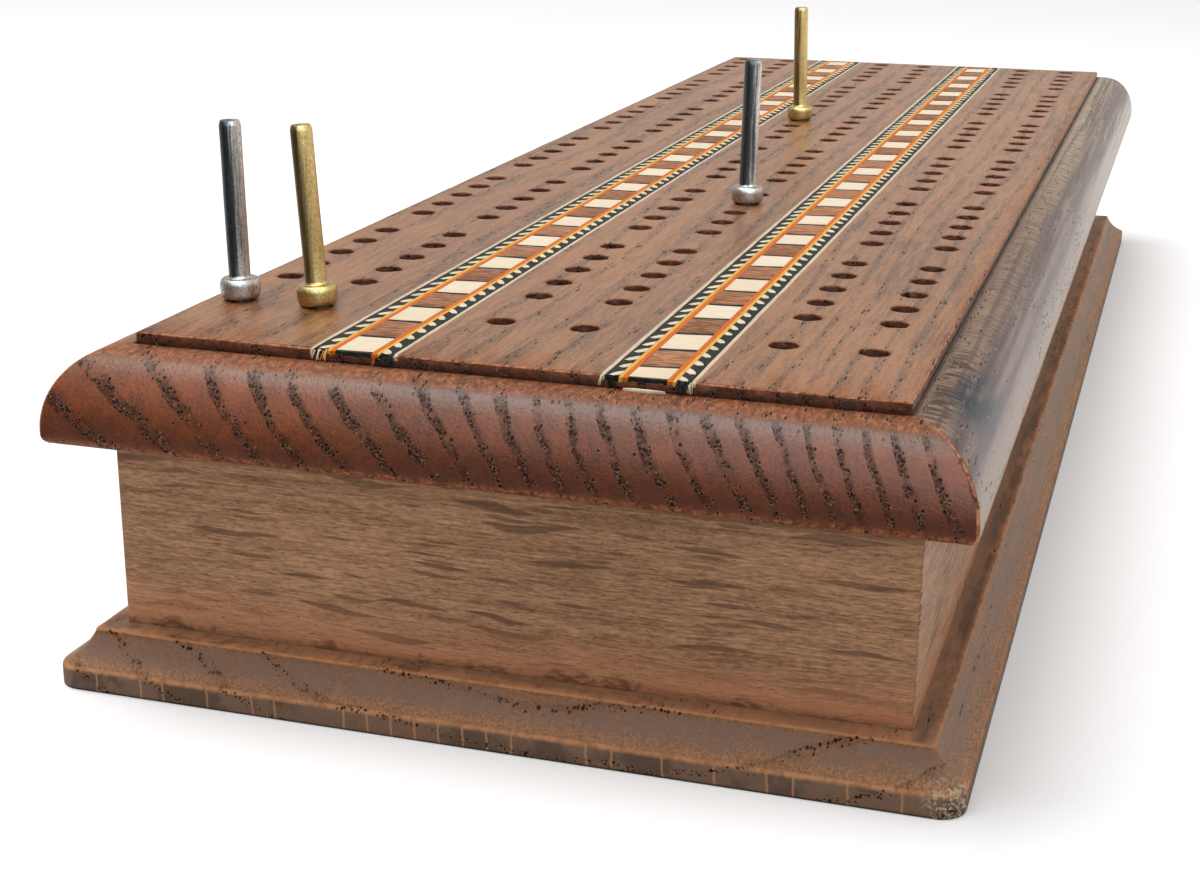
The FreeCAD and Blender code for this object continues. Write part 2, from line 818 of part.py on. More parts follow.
def make_peg(label, row, group, hole, lean, heading):
    """A turned peg: a shank in the hole, a round collar on the board and a plain rod."""
    lane, row_in_lane = divmod(row, SIZES["row_count"])
    column = FIRST_ROW_X + LANE_PITCH * lane + size("row_spacing") * row_in_lane
    if group is None:
        y = START_HOLE_Y
    else:
        y = FIRST_HOLE_Y + size("group_pitch") * group + size("hole_pitch") * hole
    body = new_body(
        label, x=column, y=CASE_CENTRE_Y + y, z=BOARD_TOP + size("peg_seat_clearance")
    )
    turn = math.radians(heading)
    body.Placement.Rotation = Rotation(Vector(-math.sin(turn), math.cos(turn), 0), lean)
    rod, collar = size("peg_rod_radius"), size("peg_collar_radius")
    tip, bevel = size("peg_shank_tip_radius"), size("peg_tip_bevel")
    corner, height = size("peg_collar_round"), size("peg_collar_height")
    corners = [
        (ZERO, -size("peg_shank_length")),
        (tip - bevel, -size("peg_shank_length")),
        (tip, bevel - size("peg_shank_length")),
        (rod, ZERO),
        (collar - corner, ZERO),
        (collar, corner),
        (collar, height - corner),
        (collar - corner, height),
        (rod, height),
        (rod, size("peg_height") - bevel),
        (rod - bevel, size("peg_height")),
        (ZERO, size("peg_height")),
    ]
    curves = {4: ("circle", (corner, True)), 6: ("circle", (corner, True))}
    profile = new_sketch(body, f"{label}_profile", "XZ_Plane")
    draw_outline(profile, corners, curves)
    revolve(body, profile)
    return body


def check_and_write(parts):
    """Stop at any failed object or bad shape, then write one STEP file for each piece."""
    DOC.recompute()
    for item in DOC.Objects:
        if "Invalid" in item.State or "Error" in item.State:
            raise ValueError(f"{item.Label} failed: {item.State}")
    for part in parts:
        if part.Shape.isNull() or not part.Shape.isValid():
            raise ValueError(f"{part.Label} has no valid shape")
    os.makedirs("parts", exist_ok=True)
    for part in parts:
        part.Shape.exportStep(f"parts/{part.Label}.step")
        print(part.Label, len(part.Shape.Solids), round(part.Shape.Volume, 2))


parts = [make_board(), make_base()] + make_walls()
parts += make_band("left") + make_band("right")
parts += make_drawer()
parts += [make_peg(label, *place) for label, place in PEGS.items()]
check_and_write(parts)
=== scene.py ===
"""Dresses the cribbage box: a moulded oak board with inlaid banding, its case, drawer and pegs."""

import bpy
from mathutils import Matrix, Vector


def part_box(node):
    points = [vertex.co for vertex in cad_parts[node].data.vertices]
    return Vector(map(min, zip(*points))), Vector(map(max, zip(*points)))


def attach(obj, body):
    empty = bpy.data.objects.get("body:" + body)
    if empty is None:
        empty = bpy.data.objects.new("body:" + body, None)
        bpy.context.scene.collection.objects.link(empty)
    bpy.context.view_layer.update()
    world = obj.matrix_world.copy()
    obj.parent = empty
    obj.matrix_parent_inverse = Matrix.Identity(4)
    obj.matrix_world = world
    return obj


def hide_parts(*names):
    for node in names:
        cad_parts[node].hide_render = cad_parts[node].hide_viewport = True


bl_info = {
    "name": "Cribbage Box Workshop",
    "version": (1, 0, 0),
    "blender": (4, 5, 0),
    "location": "3D View > Sidebar > Cribbage Box",
    "description": "Makes the oak, inlay and turned metal of a cribbage box with a drawer",
    "category": "Object",
}

import math
from functools import partialmethod

import bmesh
import bpy
import numpy as np
from mathutils import Matrix, Vector

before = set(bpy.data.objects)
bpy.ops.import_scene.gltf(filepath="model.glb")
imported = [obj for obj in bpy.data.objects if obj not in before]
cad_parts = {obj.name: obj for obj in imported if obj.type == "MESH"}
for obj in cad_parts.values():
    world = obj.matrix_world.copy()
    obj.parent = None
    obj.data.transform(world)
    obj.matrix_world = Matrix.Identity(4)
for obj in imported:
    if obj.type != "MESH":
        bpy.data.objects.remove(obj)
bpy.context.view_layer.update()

# Lengths below are in millimetres until a mesh is made, apart from those of the panel's
# own properties, which Blender shows in scene units.
MM = 0.001
# Points of one piece that are closer than this are one point.
MERGE = 1e-4
BANDS = ("left", "right")
SIDES = (-1, 1)


def box_of(node):
    """Lowest and highest corner of a solid, in millimetres."""
    low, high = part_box(node)
    return np.array(low) / MM, np.array(high) / MM


# What the solids say about the shared levels and lines.
WALL_LOW, WALL_HIGH = box_of("left_side_wall")
BOARD_LOW, BOARD_HIGH = box_of("pegging_board")
BASE_LOW, BASE_HIGH = box_of("base_board")
BAND_BOX = {band: box_of(f"{band}_band_edge_lines") for band in BANDS}
LADDER_BOX = {band: box_of(f"{band}_band_light_blocks") for band in BANDS}
CASE_HALF_X = -WALL_LOW[0]
CENTRE_Y = (BOARD_LOW[1] + BOARD_HIGH[1]) / 2
CASE_HALF_Y = CENTRE_Y - WALL_LOW[1]
BOARD_TOP = BOARD_HIGH[2]
CHANNEL_FLOOR = BAND_BOX["left"][0][2]
PANEL_END = BAND_BOX["left"][0][1]
PANEL_HALF_Y = CENTRE_Y - PANEL_END
PANEL_HALF_X = CASE_HALF_X - (CASE_HALF_Y - PANEL_HALF_Y)
STEP_DEPTH = 1.1
WALL_THICKNESS = 4.0

# Where the holes are drilled: six rows, each a start hole and then six groups of five.
HOLE_PITCH = 6.5
GROUP_PITCH = 37.35
ROWS_X = np.array([-33.65, -25.05, -5.5, 3.1, 22.65, 31.25])
FIRST_HOLE_Y = PANEL_END + 26.3
START_HOLE_Y = FIRST_HOLE_Y - 11.3
GROUPS_Y = FIRST_HOLE_Y + (GROUP_PITCH * np.arange(6)[:, None] + HOLE_PITCH * np.arange(5)).ravel()
HOLES_Y = np.concatenate([[START_HOLE_Y], GROUPS_Y])
HOLE_RADIUS = 1.4
HOLE_DEPTH = 7.0
DRILL_POINT = 0.84
# Points along each side of the rectangle that a hole's ring opens out to.
FACETS = 8
# Points round each corner of the board.
CORNER_STEPS = 6


# Meshes from arrays of points

class Sheet:
    """Grids of points, one after another: points[..., row, column, axis].

    Each grid joins every point to the next in its row and its column, and its rows close
    on themselves where they wrap. wear and raw mark rubbed arrises and bare bored wood,
    from 0 to 1, and tone is any number that tells repeats apart.
    """

    def __init__(self, points, wear=0.0, raw=0.0, tone=0.0, wrap=False):
        self.points = points
        self.marks = {"wear": wear, "raw": raw, "tone": tone}
        self.wrap = wrap

    def faces(self):
        rows, columns = self.points.shape[-3:-1]
        index = np.arange(rows * columns).reshape(rows, columns)
        if self.wrap:
            index = np.hstack([index, index[:, :1]])
        corners = [index[:-1, :-1], index[1:, :-1], index[1:, 1:], index[:-1, 1:]]
        quads = np.stack(corners, axis=-1).reshape(-1, 4)
        starts = np.arange(0, self.points[..., 0].size, rows * columns)
        return (quads + starts[:, None, None]).reshape(-1, 4)


class Lid(Sheet):
    """Flat faces, each closing one ring of points: points[..., 0, column, axis]."""

    def faces(self):
        return np.arange(self.points[..., 0].size).reshape(-1, self.points.shape[-2])


def closed(points, **marks):
    """Tubes with both ends shut: points[..., ring, place round it, axis]."""
    first, last = points[..., :1, :, :], points[..., -1:, :, :]
    return [Sheet(points, wrap=True, **marks), Lid(first, **marks), Lid(last, **marks)]


def grid(*parts):
    """Coordinates stretched to one shape and put together as points."""
    return np.stack(np.broadcast_arrays(*parts), axis=-1)


def lift(plan, height):
    """The points of a plan at a height."""
    return grid(plan[..., 0], plan[..., 1], height)


def unit(vectors):
    """Vectors made one long."""
    return vectors / np.linalg.norm(vectors, axis=-1, keepdims=True)


def drop_doubles(faces):
    """Faces as lists of corners, without a corner that repeats the one before it."""
    same = faces == np.roll(faces, 1, axis=1)
    cut = same.any(axis=1)
    narrow = [face[~double].tolist() for face, double in zip(faces[cut], same[cut])]
    return faces[~cut].tolist() + [face for face in narrow if len(face) > 2]


def put(name, data):
    """A new object in the scene."""
    thing = bpy.data.objects.new(name, data)
    bpy.context.scene.collection.objects.link(thing)
    return thing


def make_piece(name, sheets, finish, replaced=(), body="case", crease=38.0):
    """One mesh object from sheets: merged at its seams, facing outwards and riding its body.

    An edge that turns by more than crease degrees stays sharp.
    """
    points = np.concatenate([sheet.points.reshape(-1, 3) for sheet in sheets])
    near = np.round(points / MERGE).astype(np.int64)
    _, first, where = np.unique(near, axis=0, return_index=True, return_inverse=True)
    where = where.ravel()
    faces, start = [], 0
    for sheet in sheets:
        faces += drop_doubles(where[sheet.faces() + start])
        start += sheet.points[..., 0].size
    mesh = bpy.data.meshes.new(name)
    mesh.from_pydata((points[first] * MM).tolist(), [], faces)
    mesh.materials.append(finish)
    for mark in sheets[0].marks:
        spread = [
            np.broadcast_to(sheet.marks[mark], sheet.points.shape[:-1]).ravel()
            for sheet in sheets
        ]
        values = np.full(len(first), -np.inf)
        np.maximum.at(values, where, np.concatenate(spread))
        layer = mesh.attributes.new(mark, "FLOAT", "POINT")
        layer.data.foreach_set("value", values.astype(np.float32))
    skin = bmesh.new()
    skin.from_mesh(mesh)
    bmesh.ops.recalc_face_normals(skin, faces=skin.faces)
    skin.to_mesh(mesh)
    skin.free()
    mesh.polygons.foreach_set("use_smooth", [True] * len(mesh.polygons))
    mesh.set_sharp_from_angle(angle=math.radians(crease))
    piece = put(name, mesh)
    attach(piece, body)
    if replaced:
        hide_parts(*replaced)


def ripple(places, length, seed):
    """A smooth unevenness from -1 to 1 about every `length`: five crossed sine waves averaged."""
    draw = np.random.default_rng(seed)
    count = 5
    heading = unit(draw.normal(size=(count, places.shape[-1])))
    pitch = 2 * np.pi / (length * draw.uniform(0.6, 1.7, count))
    phase = draw.uniform(0, 2 * np.pi, count)
    return np.sin(places @ (heading * pitch[:, None]).T + phase).mean(axis=-1) * 1.6


def arc(centre, radii, start, end, count):
    """Points on an ellipse about a centre, from one angle in degrees to another."""
    angle = np.radians(np.linspace(start, end, count))
    return np.asarray(centre) + grid(np.cos(angle), np.sin(angle)) * radii


def joined(*parts):
    """One run of points or values from several."""
    return np.concatenate([np.asarray(part, float) for part in parts])


def carry_round(half, profile, corner_radii, runs, corner_steps=CORNER_STEPS):
    """A moulding: a profile of (offset, height) carried round a rectangle.

    half is the rectangle's half size, about the board's centre. Along a side a point is the
    side's own point pushed out by the offset. Round a corner it lies on a quarter circle of
    that profile point's corner radius, whose centre is the corner pushed out both ways by
    the offset less that radius. runs gives the places of the points along X and along Y.
    Returns points[profile, path, axis].
    """
    offset, height = profile[:, :1], profile[:, 1:]
    radius = np.minimum(corner_radii, np.maximum(profile[:, 0], 0.0))[:, None]
    along_x, along_y = runs
    turn = np.linspace(0, np.pi / 2, corner_steps)
    parts = []
    for side, run in enumerate((along_x, along_y, along_x[::-1], along_y[::-1])):
        start = np.pi / 2 * (side - 1)
        inside = half[side % 2] + np.minimum(offset, 0.0)
        normal = np.round((np.cos(start), np.sin(start)))
        place = [normal[axis] * (half[axis] + offset) for axis in (0, 1)]
        place[side % 2] = np.clip(run, -inside, inside)
        parts.append(grid(*place, height))
        angle = start + turn
        signs = np.sign((np.cos(angle.mean()), np.sin(angle.mean())))
        x, y = (signs[axis] * (half[axis] + offset - radius) for axis in (0, 1))
        parts.append(grid(x + radius * np.cos(angle), y + radius * np.sin(angle), height))
    points = np.concatenate(parts, axis=1)
    points[..., 1] += CENTRE_Y
    return points


def push_out(ring, shift):
    """Moves points in plan, away from the board's centre."""
    ring[..., :2] += unit(ring[..., :2] - (0, CENTRE_Y)) * shift[..., None]


# Node recipes

class Field:
    """A number at each place of a surface. Sums and products of fields are fields."""

    def __init__(self, recipe, socket):
        self.recipe = recipe
        self.socket = socket

    def math(self, operation, *others):
        return self.recipe.math(operation, self, *others)

    __add__ = partialmethod(math, "ADD")
    __sub__ = partialmethod(math, "SUBTRACT")
    __mul__ = partialmethod(math, "MULTIPLY")
    __truediv__ = partialmethod(math, "DIVIDE")
    __pow__ = partialmethod(math, "POWER")
    __abs__ = partialmethod(math, "ABSOLUTE")
    least = partialmethod(math, "MINIMUM")
    most = partialmethod(math, "MAXIMUM")

    def __rsub__(self, other):
        return self.recipe.math("SUBTRACT", other, self)

    def ease(self, low, high, start=0.0, end=1.0):
        """Eases from start to end as the field goes from low to high."""
        feeds = {
            "Value": self, "From Min": low, "From Max": high, "To Min": start, "To Max": end,
        }
        return self.recipe.add("MapRange", feeds, interpolation_type="SMOOTHSTEP")

    def fade(self, low, high):
        """Eases from 1 to 0 as the field goes from low to high."""
        return self.ease(low, high, 1.0, 0.0)


class Recipe:
    """A finish in the making. A field, a number or a tuple may feed any input."""

    def __init__(self, owner):
        self.owner = owner
        owner.use_nodes = True
        self.tree = owner.node_tree
        self.tree.nodes.clear()

    def node(self, kind, feeds, **settings):
        node = self.tree.nodes.new(f"ShaderNode{kind}")
        for setting, value in settings.items():
            setattr(node, setting, value)
        for name, feed in feeds.items():
            if isinstance(feed, Field):
                self.tree.links.new(feed.socket, node.inputs[name])
            else:
                node.inputs[name].default_value = feed
        return node

    def add(self, kind, feeds, output=0, **settings):
        return Field(self, self.node(kind, feeds, **settings).outputs[output])

    def split(self, vector, kind="SeparateXYZ"):
        """The three parts of a vector or a colour."""
        return [Field(self, part) for part in self.node(kind, {0: vector}).outputs[:3]]

    def math(self, operation, *feeds):
        return self.add("Math", dict(enumerate(feeds)), operation=operation)

    def stretch(self, vector, factors, operation="MULTIPLY"):
        return self.add("VectorMath", {0: vector, 1: factors}, operation=operation)

    def noise(self, vector, detail=2.0, roughness=0.5):
        feeds = {"Vector": vector, "Scale": 1.0, "Detail": detail, "Roughness": roughness}
        return self.add("TexNoise", feeds)

    def draw(self, number):
        """One random number for each whole number that a field passes."""
        return self.add("TexWhiteNoise", {"W": number.math("FLOOR")}, noise_dimensions="1D")

    def mark(self, name):
        return self.add("Attribute", {}, "Fac", attribute_name=name)

    def mix(self, cover, under, over, blend="MIX"):
        """One colour over another, as far as cover goes from 0 to 1."""
        feeds = {0: cover, 6: opaque(under), 7: opaque(over)}
        return self.add("Mix", feeds, 2, data_type="RGBA", blend_type=blend)

    def place(self):
        """Object coordinates in millimetres."""
        return self.stretch(self.add("TexCoord", {}, "Object"), (1 / MM,) * 3)

    def finish(self, colour, roughness, height, depth, **constants):
        """Closes the recipe. height, from 0 to 1, is a relief that is `depth` deep."""
        relief = {"Height": height, "Strength": 1.0, "Distance": depth * MM}
        feeds = {
            "Base Color": colour, "Roughness": roughness, "Normal": self.add("Bump", relief),
        }
        feeds.update({name.replace("_", " "): value for name, value in constants.items()})
        self.node("OutputMaterial", {"Surface": self.add("BsdfPrincipled", feeds)})
        return self.owner


def opaque(colour):
    """A colour with its alpha; a field passes as it is."""
    return colour if isinstance(colour, Field) else (*tuple(colour)[:3], 1.0)


def recipe_for(name):
    """A recipe for a new material."""
    return Recipe(bpy.data.materials.new(name))


class Oak:
    """The grain of a board sawn from an oak: rings, bands of open pores, fibres and rays.

    A place is read as its distance along the trunk and its distance and way round from the
    pith. The ring number grows with the distance from the pith, so rings come closer
    together where crowding is over one. Each ring opens with a band of pores.
    """

    def __init__(self, name, grain, pith, spacing, at_radius, crowding=1.0, band=0.34):
        self.recipe = r = recipe_for(name)
        self.place = r.place()
        self.axes = x, y, z = r.split(self.place)
        along, a = (x, y) if grain == "X" else (y, x)
        a, b = a - pith[0], z - pith[1]
        self.cross = r.add("CombineXYZ", {0: a, 1: b, 2: along})
        self.wear, self.raw, self.tone = (r.mark(name) for name in ("wear", "raw", "tone"))
        sway = self.texture(0.035, 0.011, 1.0) - 0.5
        quiver = self.texture(0.35, 0.03) - 0.5
        reach = (a * a + b * b).math("SQRT") + sway * 7.0 + quiver * 0.9
        number = (reach / at_radius) ** crowding * (at_radius / (crowding * spacing))
        phase = number.math("FRACT")
        late = r.draw(number) * 0.12 + (band - 0.16)
        self.early = phase.ease(0.0, 0.05) * phase.fade(late, band + 0.1)
        self.fibre = self.texture(5.5, 0.11, 3.0, 0.6)
        self.felt = self.texture(4.2, 1.1, 3.0, 0.6)
        self.mottle = self.texture(0.5, 0.09)
        self.cloud = self.texture(0.06, 0.02, 3.0)
        facing = r.split(r.add("TexCoord", {}, "Normal"))["XYZ".index(grain)]
        self.end = abs(facing).ease(0.3, 0.85)
        turn = b.math("ARCTAN2", a) * (at_radius * 4.2)
        rays = r.add("CombineXYZ", {0: turn, 1: reach * 0.16, 2: along * 0.35})
        self.rays = r.noise(rays, 1.0).ease(0.48, 0.75)
        self.folds = self.matte = 0.0

    def texture(self, across, along, detail=2.0, roughness=0.5):
        """Noise with so many waves in a millimetre across the grain and along it."""
        place = self.recipe.stretch(self.cross, (across, across, along))
        return self.recipe.noise(place, detail, roughness)

    def cells(self, spacing, centre, radius, share, soft, exponent=2.0, flat=False):
        """Ellipsoids scattered in the wood, one in each cell where a draw is below `share`.

        spacing is the cells' size across the grain both ways and along it. An ellipsoid's
        radius, as a part of its cell, is centre plus a draw times radius. An exponent below
        two gives it pointed ends. Flat cells go right through the wood the first way.
        Returns how far a place is inside one, and the same with a halo round it.
        """
        r = self.recipe
        place = r.stretch(self.cross, tuple(1 / part for part in spacing))
        if flat:
            _, b, along = r.split(place)
            place = r.add("CombineXYZ", {0: b, 1: along})
        feeds = {"Vector": place, "Scale": 1.0, "Exponent": exponent}
        shape = {"distance": "MINKOWSKI", "voronoi_dimensions": "2D" if flat else "3D"}
        cell = r.node("TexVoronoi", feeds, **shape).outputs
        first, second, _ = r.split(Field(r, cell["Color"]), "SeparateColor")
        deep = first * radius + centre - Field(r, cell["Distance"])
        chosen = second.math("LESS_THAN", share)
        return deep.ease(0.0, soft) * chosen, deep.ease(-0.2, 0.0) * chosen

    def open_pores(self, end_width, face_size, end_share, face_share):
        """Pore openings: round where they are cut across and short dashes along a face.

        A share is how many cells have a pore between the bands and in them.
        """
        self.early = band = self.early * self.texture(0.8, 0.2, 3.0).ease(0.36, 0.52, 0.2, 1.0)
        ends, faces = (
            band * (dense - sparse) + sparse for sparse, dense in (end_share, face_share)
        )
        cuts = self.cells((end_width, end_width, 3.0), 0.34, 0.24, ends, 0.16)
        dashes = self.cells((face_size[0], *face_size), 0.22, 0.26, faces, 0.12, 1.5)
        self.pores, self.halos = (
            self.recipe.add("Mix", {0: self.end, 2: dash, 3: cut}) for dash, cut in zip(dashes, cuts)
        )

    def grow(self, light, dark, end_tint, contrast, band_tone=None, ringed=0.3, streaked=0.9,
             felted=0.9):
        """The wood's colour without its pores."""
        r = self.recipe
        weights = (
            (self.early, ringed), (self.cloud, 0.6), (self.mottle, 0.6), (self.fibre, streaked),
            (self.felt, felted),
        )
        depth = 0.5 - sum(weight / 2 for _, weight in weights) * contrast
        for part, weight in weights:
            depth = part * (weight * contrast) + depth
        body = r.mix(depth, light, dark)
        cut = r.mix(self.rays * 0.14, r.mix(1.0, body, end_tint, "MULTIPLY"), body)
        if band_tone is not None:
            crust = self.texture(2.6, 1.0, 3.0, 0.65).ease(0.36, 0.6, 0.22, 0.85)
            cut = r.mix(self.early * crust, cut, band_tone)
        self.colour = r.mix(self.end, body, cut)

    def paint(self, tone, cover, blend="MIX"):
        """Lays a tone over the colour so far."""
        self.colour = self.recipe.mix(cover, self.colour, tone, blend)

    def rub(self, torn_tone, rubbed_tone, amount):
        """Torn places, and rubbed arrises where the wear is greatest, broken up by noise."""
        grit = self.texture(1.3, 0.8, 3.0).ease(0.34, 0.64, 0.35, 1.0) * amount
        self.paint(torn_tone, self.wear.ease(0.08, 0.5) * grit)
        self.paint(rubbed_tone, self.wear.ease(0.66, 0.92) * grit)

    def around(self, centre, reach, torn, squeeze=1.0):
        """1 at a place in the piece, easing to 0 at a distance, with a torn edge.

        Distances along the board count for less where squeeze is under one.
        """
        r = self.recipe
        place = r.stretch(self.place, (1.0, squeeze, 1.0))
        centre = (centre[0], centre[1] * squeeze, centre[2])
        away = r.add("VectorMath", {0: place, 1: centre}, "Value", operation="DISTANCE")
        away += (self.texture(0.45, 0.12, 3.0) - 0.5) * torn
        return away.fade(reach * 0.3, reach)

    def finish(self, pore, rim, roughness, depth, lustre, index):
        """Closes the recipe: worn places are raw and rough, pores are dark and open, and their rims
        get a painted highlight.
        """
        torn = self.wear * self.texture(1.6, 0.9, 3.0, 0.65).ease(0.34, 0.66)
        # Painted highlight: a light rim round each pore, where light would catch its edge.
        self.paint(rim, (self.halos - self.pores) * self.felt.ease(0.4, 0.6, 0.0, 0.5))
        self.paint(pore, self.pores * self.texture(1.1, 0.3).ease(0.3, 0.6, 0.55, 0.95))
        rough = self.fibre * 0.14 + (roughness - 0.07) + self.wear * 0.3
        dull = self.pores.most((torn + self.wear) * 0.5)
        dull = dull.most(self.early * self.end * 0.8).most(self.matte)
        shine = dull * (-0.85 * lustre) + lustre
        height = self.fibre * 0.24 + self.felt * 0.14 + self.pores * -0.7 + torn * 0.4
        height += self.folds
        return self.recipe.finish(
            self.colour, rough, height, depth, Specular_IOR_Level=shine, IOR=index,
        )


def linear(red, green, blue):
    """A colour as a painter would mix it, 0 to 255, as scene-linear values."""
    part = np.array([red, green, blue]) / 255
    bright = ((part + 0.055) / 1.055) ** 2.4
    return tuple(np.where(part < 0.04045, part / 12.92, bright).tolist())


def board_oak():
    """Fumed oak under satin varnish, for the pegging board."""
    tones = bpy.context.scene.crib_finishes
    oak = Oak("varnished_board_oak", "Y", (-66.0, -14.0), 2.9, 80.0, crowding=1.48, band=0.32)
    x, y, z = oak.axes
    texture, paint, end, wear = oak.texture, oak.paint, oak.end, oak.wear
    oak.fibre = texture(2.9, 0.22, 4.0, 0.7)
    oak.open_pores(0.35, (0.34, 2.1), (0.004, 1.0), (0.06, 1.0))
    oak.grow(tones.board_light, tones.board_dark, tones.board_end, 1.45, tones.board_band,
             streaked=1.5, felted=1.3)
    paint(tones.board_low, texture(0.4, 0.1, 3.0, 0.6).ease(0.36, 0.62, 0.0, 0.3) * end)

    # Painted shade darkens the end mouldings to the right, by the step (with the torn grain's own
    # colour) and towards their foot.
    from_middle = abs(y - CENTRE_Y)
    past_mitre = (x - from_middle + (PANEL_HALF_Y - PANEL_HALF_X)).ease(-0.15, 0.35)
    on_end = (from_middle - PANEL_HALF_Y).ease(0.2, 0.6) * (1.0 - past_mitre)
    # Painted shade: darker towards the right.
    paint((0.76, 0.75, 0.74), on_end * x.ease(-28.0, 8.0), "MULTIPLY")
    # Darker by the step: the torn grain's own colour, with painted shade that tones down the sheen
    # there.
    upper = z.ease(31.7, 32.8) * on_end * x.ease(-30.0, 5.0, 0.45, 1.0)
    paint((0.66, 0.6, 0.53), upper, "MULTIPLY")
    # Painted shade: darker towards the foot of the moulding.
    paint(tones.board_low, z.fade(25.5, 31.5) * end * 0.64)

    # A dark line beside each band.
    left, right = (abs(x - (BAND_BOX[band][0][0] - 0.45)) for band in BANDS)
    dark_line = left.least(right).fade(0.14, 0.38)
    dark_line *= texture(0.8, 0.07).ease(0.36, 0.6, 0.15, 0.6)
    paint(tones.board_dark, dark_line * z.ease(34.4, 34.6))

    # Rubbed and torn places, grime and painted shade in the corners by the step, and the bores.
    oak.rub(tones.board_torn, tones.board_worn, 0.85)
    bared = wear.ease(0.2, 0.55)
    paint(tones.board_low, texture(1.5, 0.9, 4.0, 0.7).ease(0.5, 0.6) * bared * 0.62)
    paint(tones.board_worn, texture(2.4, 1.2, 4.0, 0.7).ease(0.5, 0.42, 0.0, 1.0) * bared * 0.32)
    # Grime with painted shade on the riser and in its quirk.
    paint(tones.grime, oak.tone * texture(0.9, 0.6).ease(0.25, 0.6, 0.6, 1.0) * 0.85)
    paint(tones.pore, texture(0.7, 0.3, 3.0).ease(0.54, 0.62) * oak.tone * 0.8)
    paint(tones.bore, oak.raw * 0.85)

    # Painted reflection: the right moulding is painted greyer, paler low down and towards the far
    # end, and purplish, most where it is seen at a low angle.
    outside = x.ease(37.1, 38.2) * (1.0 - end) * past_mitre
    facing = oak.recipe.add("LayerWeight", {"Blend": 0.5}, "Facing")
    grazing_sheen = outside * facing.ease(0.3, 0.62, 0.3, 1.0)
    paint(tones.side_grey, grazing_sheen * 0.75)
    pale_sheen = z.ease(27.0, 29.8, 0.35, 0.0).most(y.ease(-60.0, 70.0, 0.0, 0.85))
    paint(tones.side_pale, pale_sheen * grazing_sheen)
    # Purplish band, painted as part of the grazing reflection.
    plum = z.ease(28.8, 30.6) * z.fade(32.7, 33.5)
    plum *= texture(0.8, 0.03).ease(0.3, 0.6, 0.35, 0.9)
    paint(tones.plum, plum * grazing_sheen)

    # Its grain is torn into folds beside the step, most of all near the corner, with painted
    # highlight on their ridges and painted shade in their hollows.
    folds = texture(0.45, 1.15, 3.0, 0.65)
    folded = x.fade(39.4, 40.8) * oak.around((38.5, -112.0, 33.6), 13.0, 4.0, 0.6)
    folded = folded.most(x.ease(40.2, 41.4, 0.5, 0.0)) * outside
    # Painted highlight on the folds' ridges and painted shade in their hollows.
    paint(tones.side_light, folds.fade(0.42, 0.49) * folded * 0.7)
    paint(tones.grime, folds.ease(0.5, 0.56) * folded * 0.9)
    seam = abs(x - 41.3).fade(0.08, 0.4)
    seam *= texture(0.7, 0.12, 3.0).ease(0.42, 0.56, 0.0, 0.75)
    paint(tones.grime, seam * outside)
    # Purplish streaks, painted only where the grazing reflection is.
    veins = texture(1.1, 0.012, 3.0, 0.65).ease(0.5, 0.62) * z.ease(27.0, 30.0)
    paint(tones.plum, veins * grazing_sheen * 0.8)
    stain = texture(0.7, 0.13, 3.0).ease(0.32, 0.5) * outside
    stain *= oak.around((41.5, -112.0, 32.4), 4.2, 2.0, 0.36)
    paint(tones.stain, stain * 0.96)
    oak.folds = folds * folded * -3.0
    oak.matte = (plum.most(folded * 0.8) * outside).most(stain) * 0.85
    return oak.finish(tones.pore, tones.board_rim, 0.33, 0.17, 0.55, 1.45)


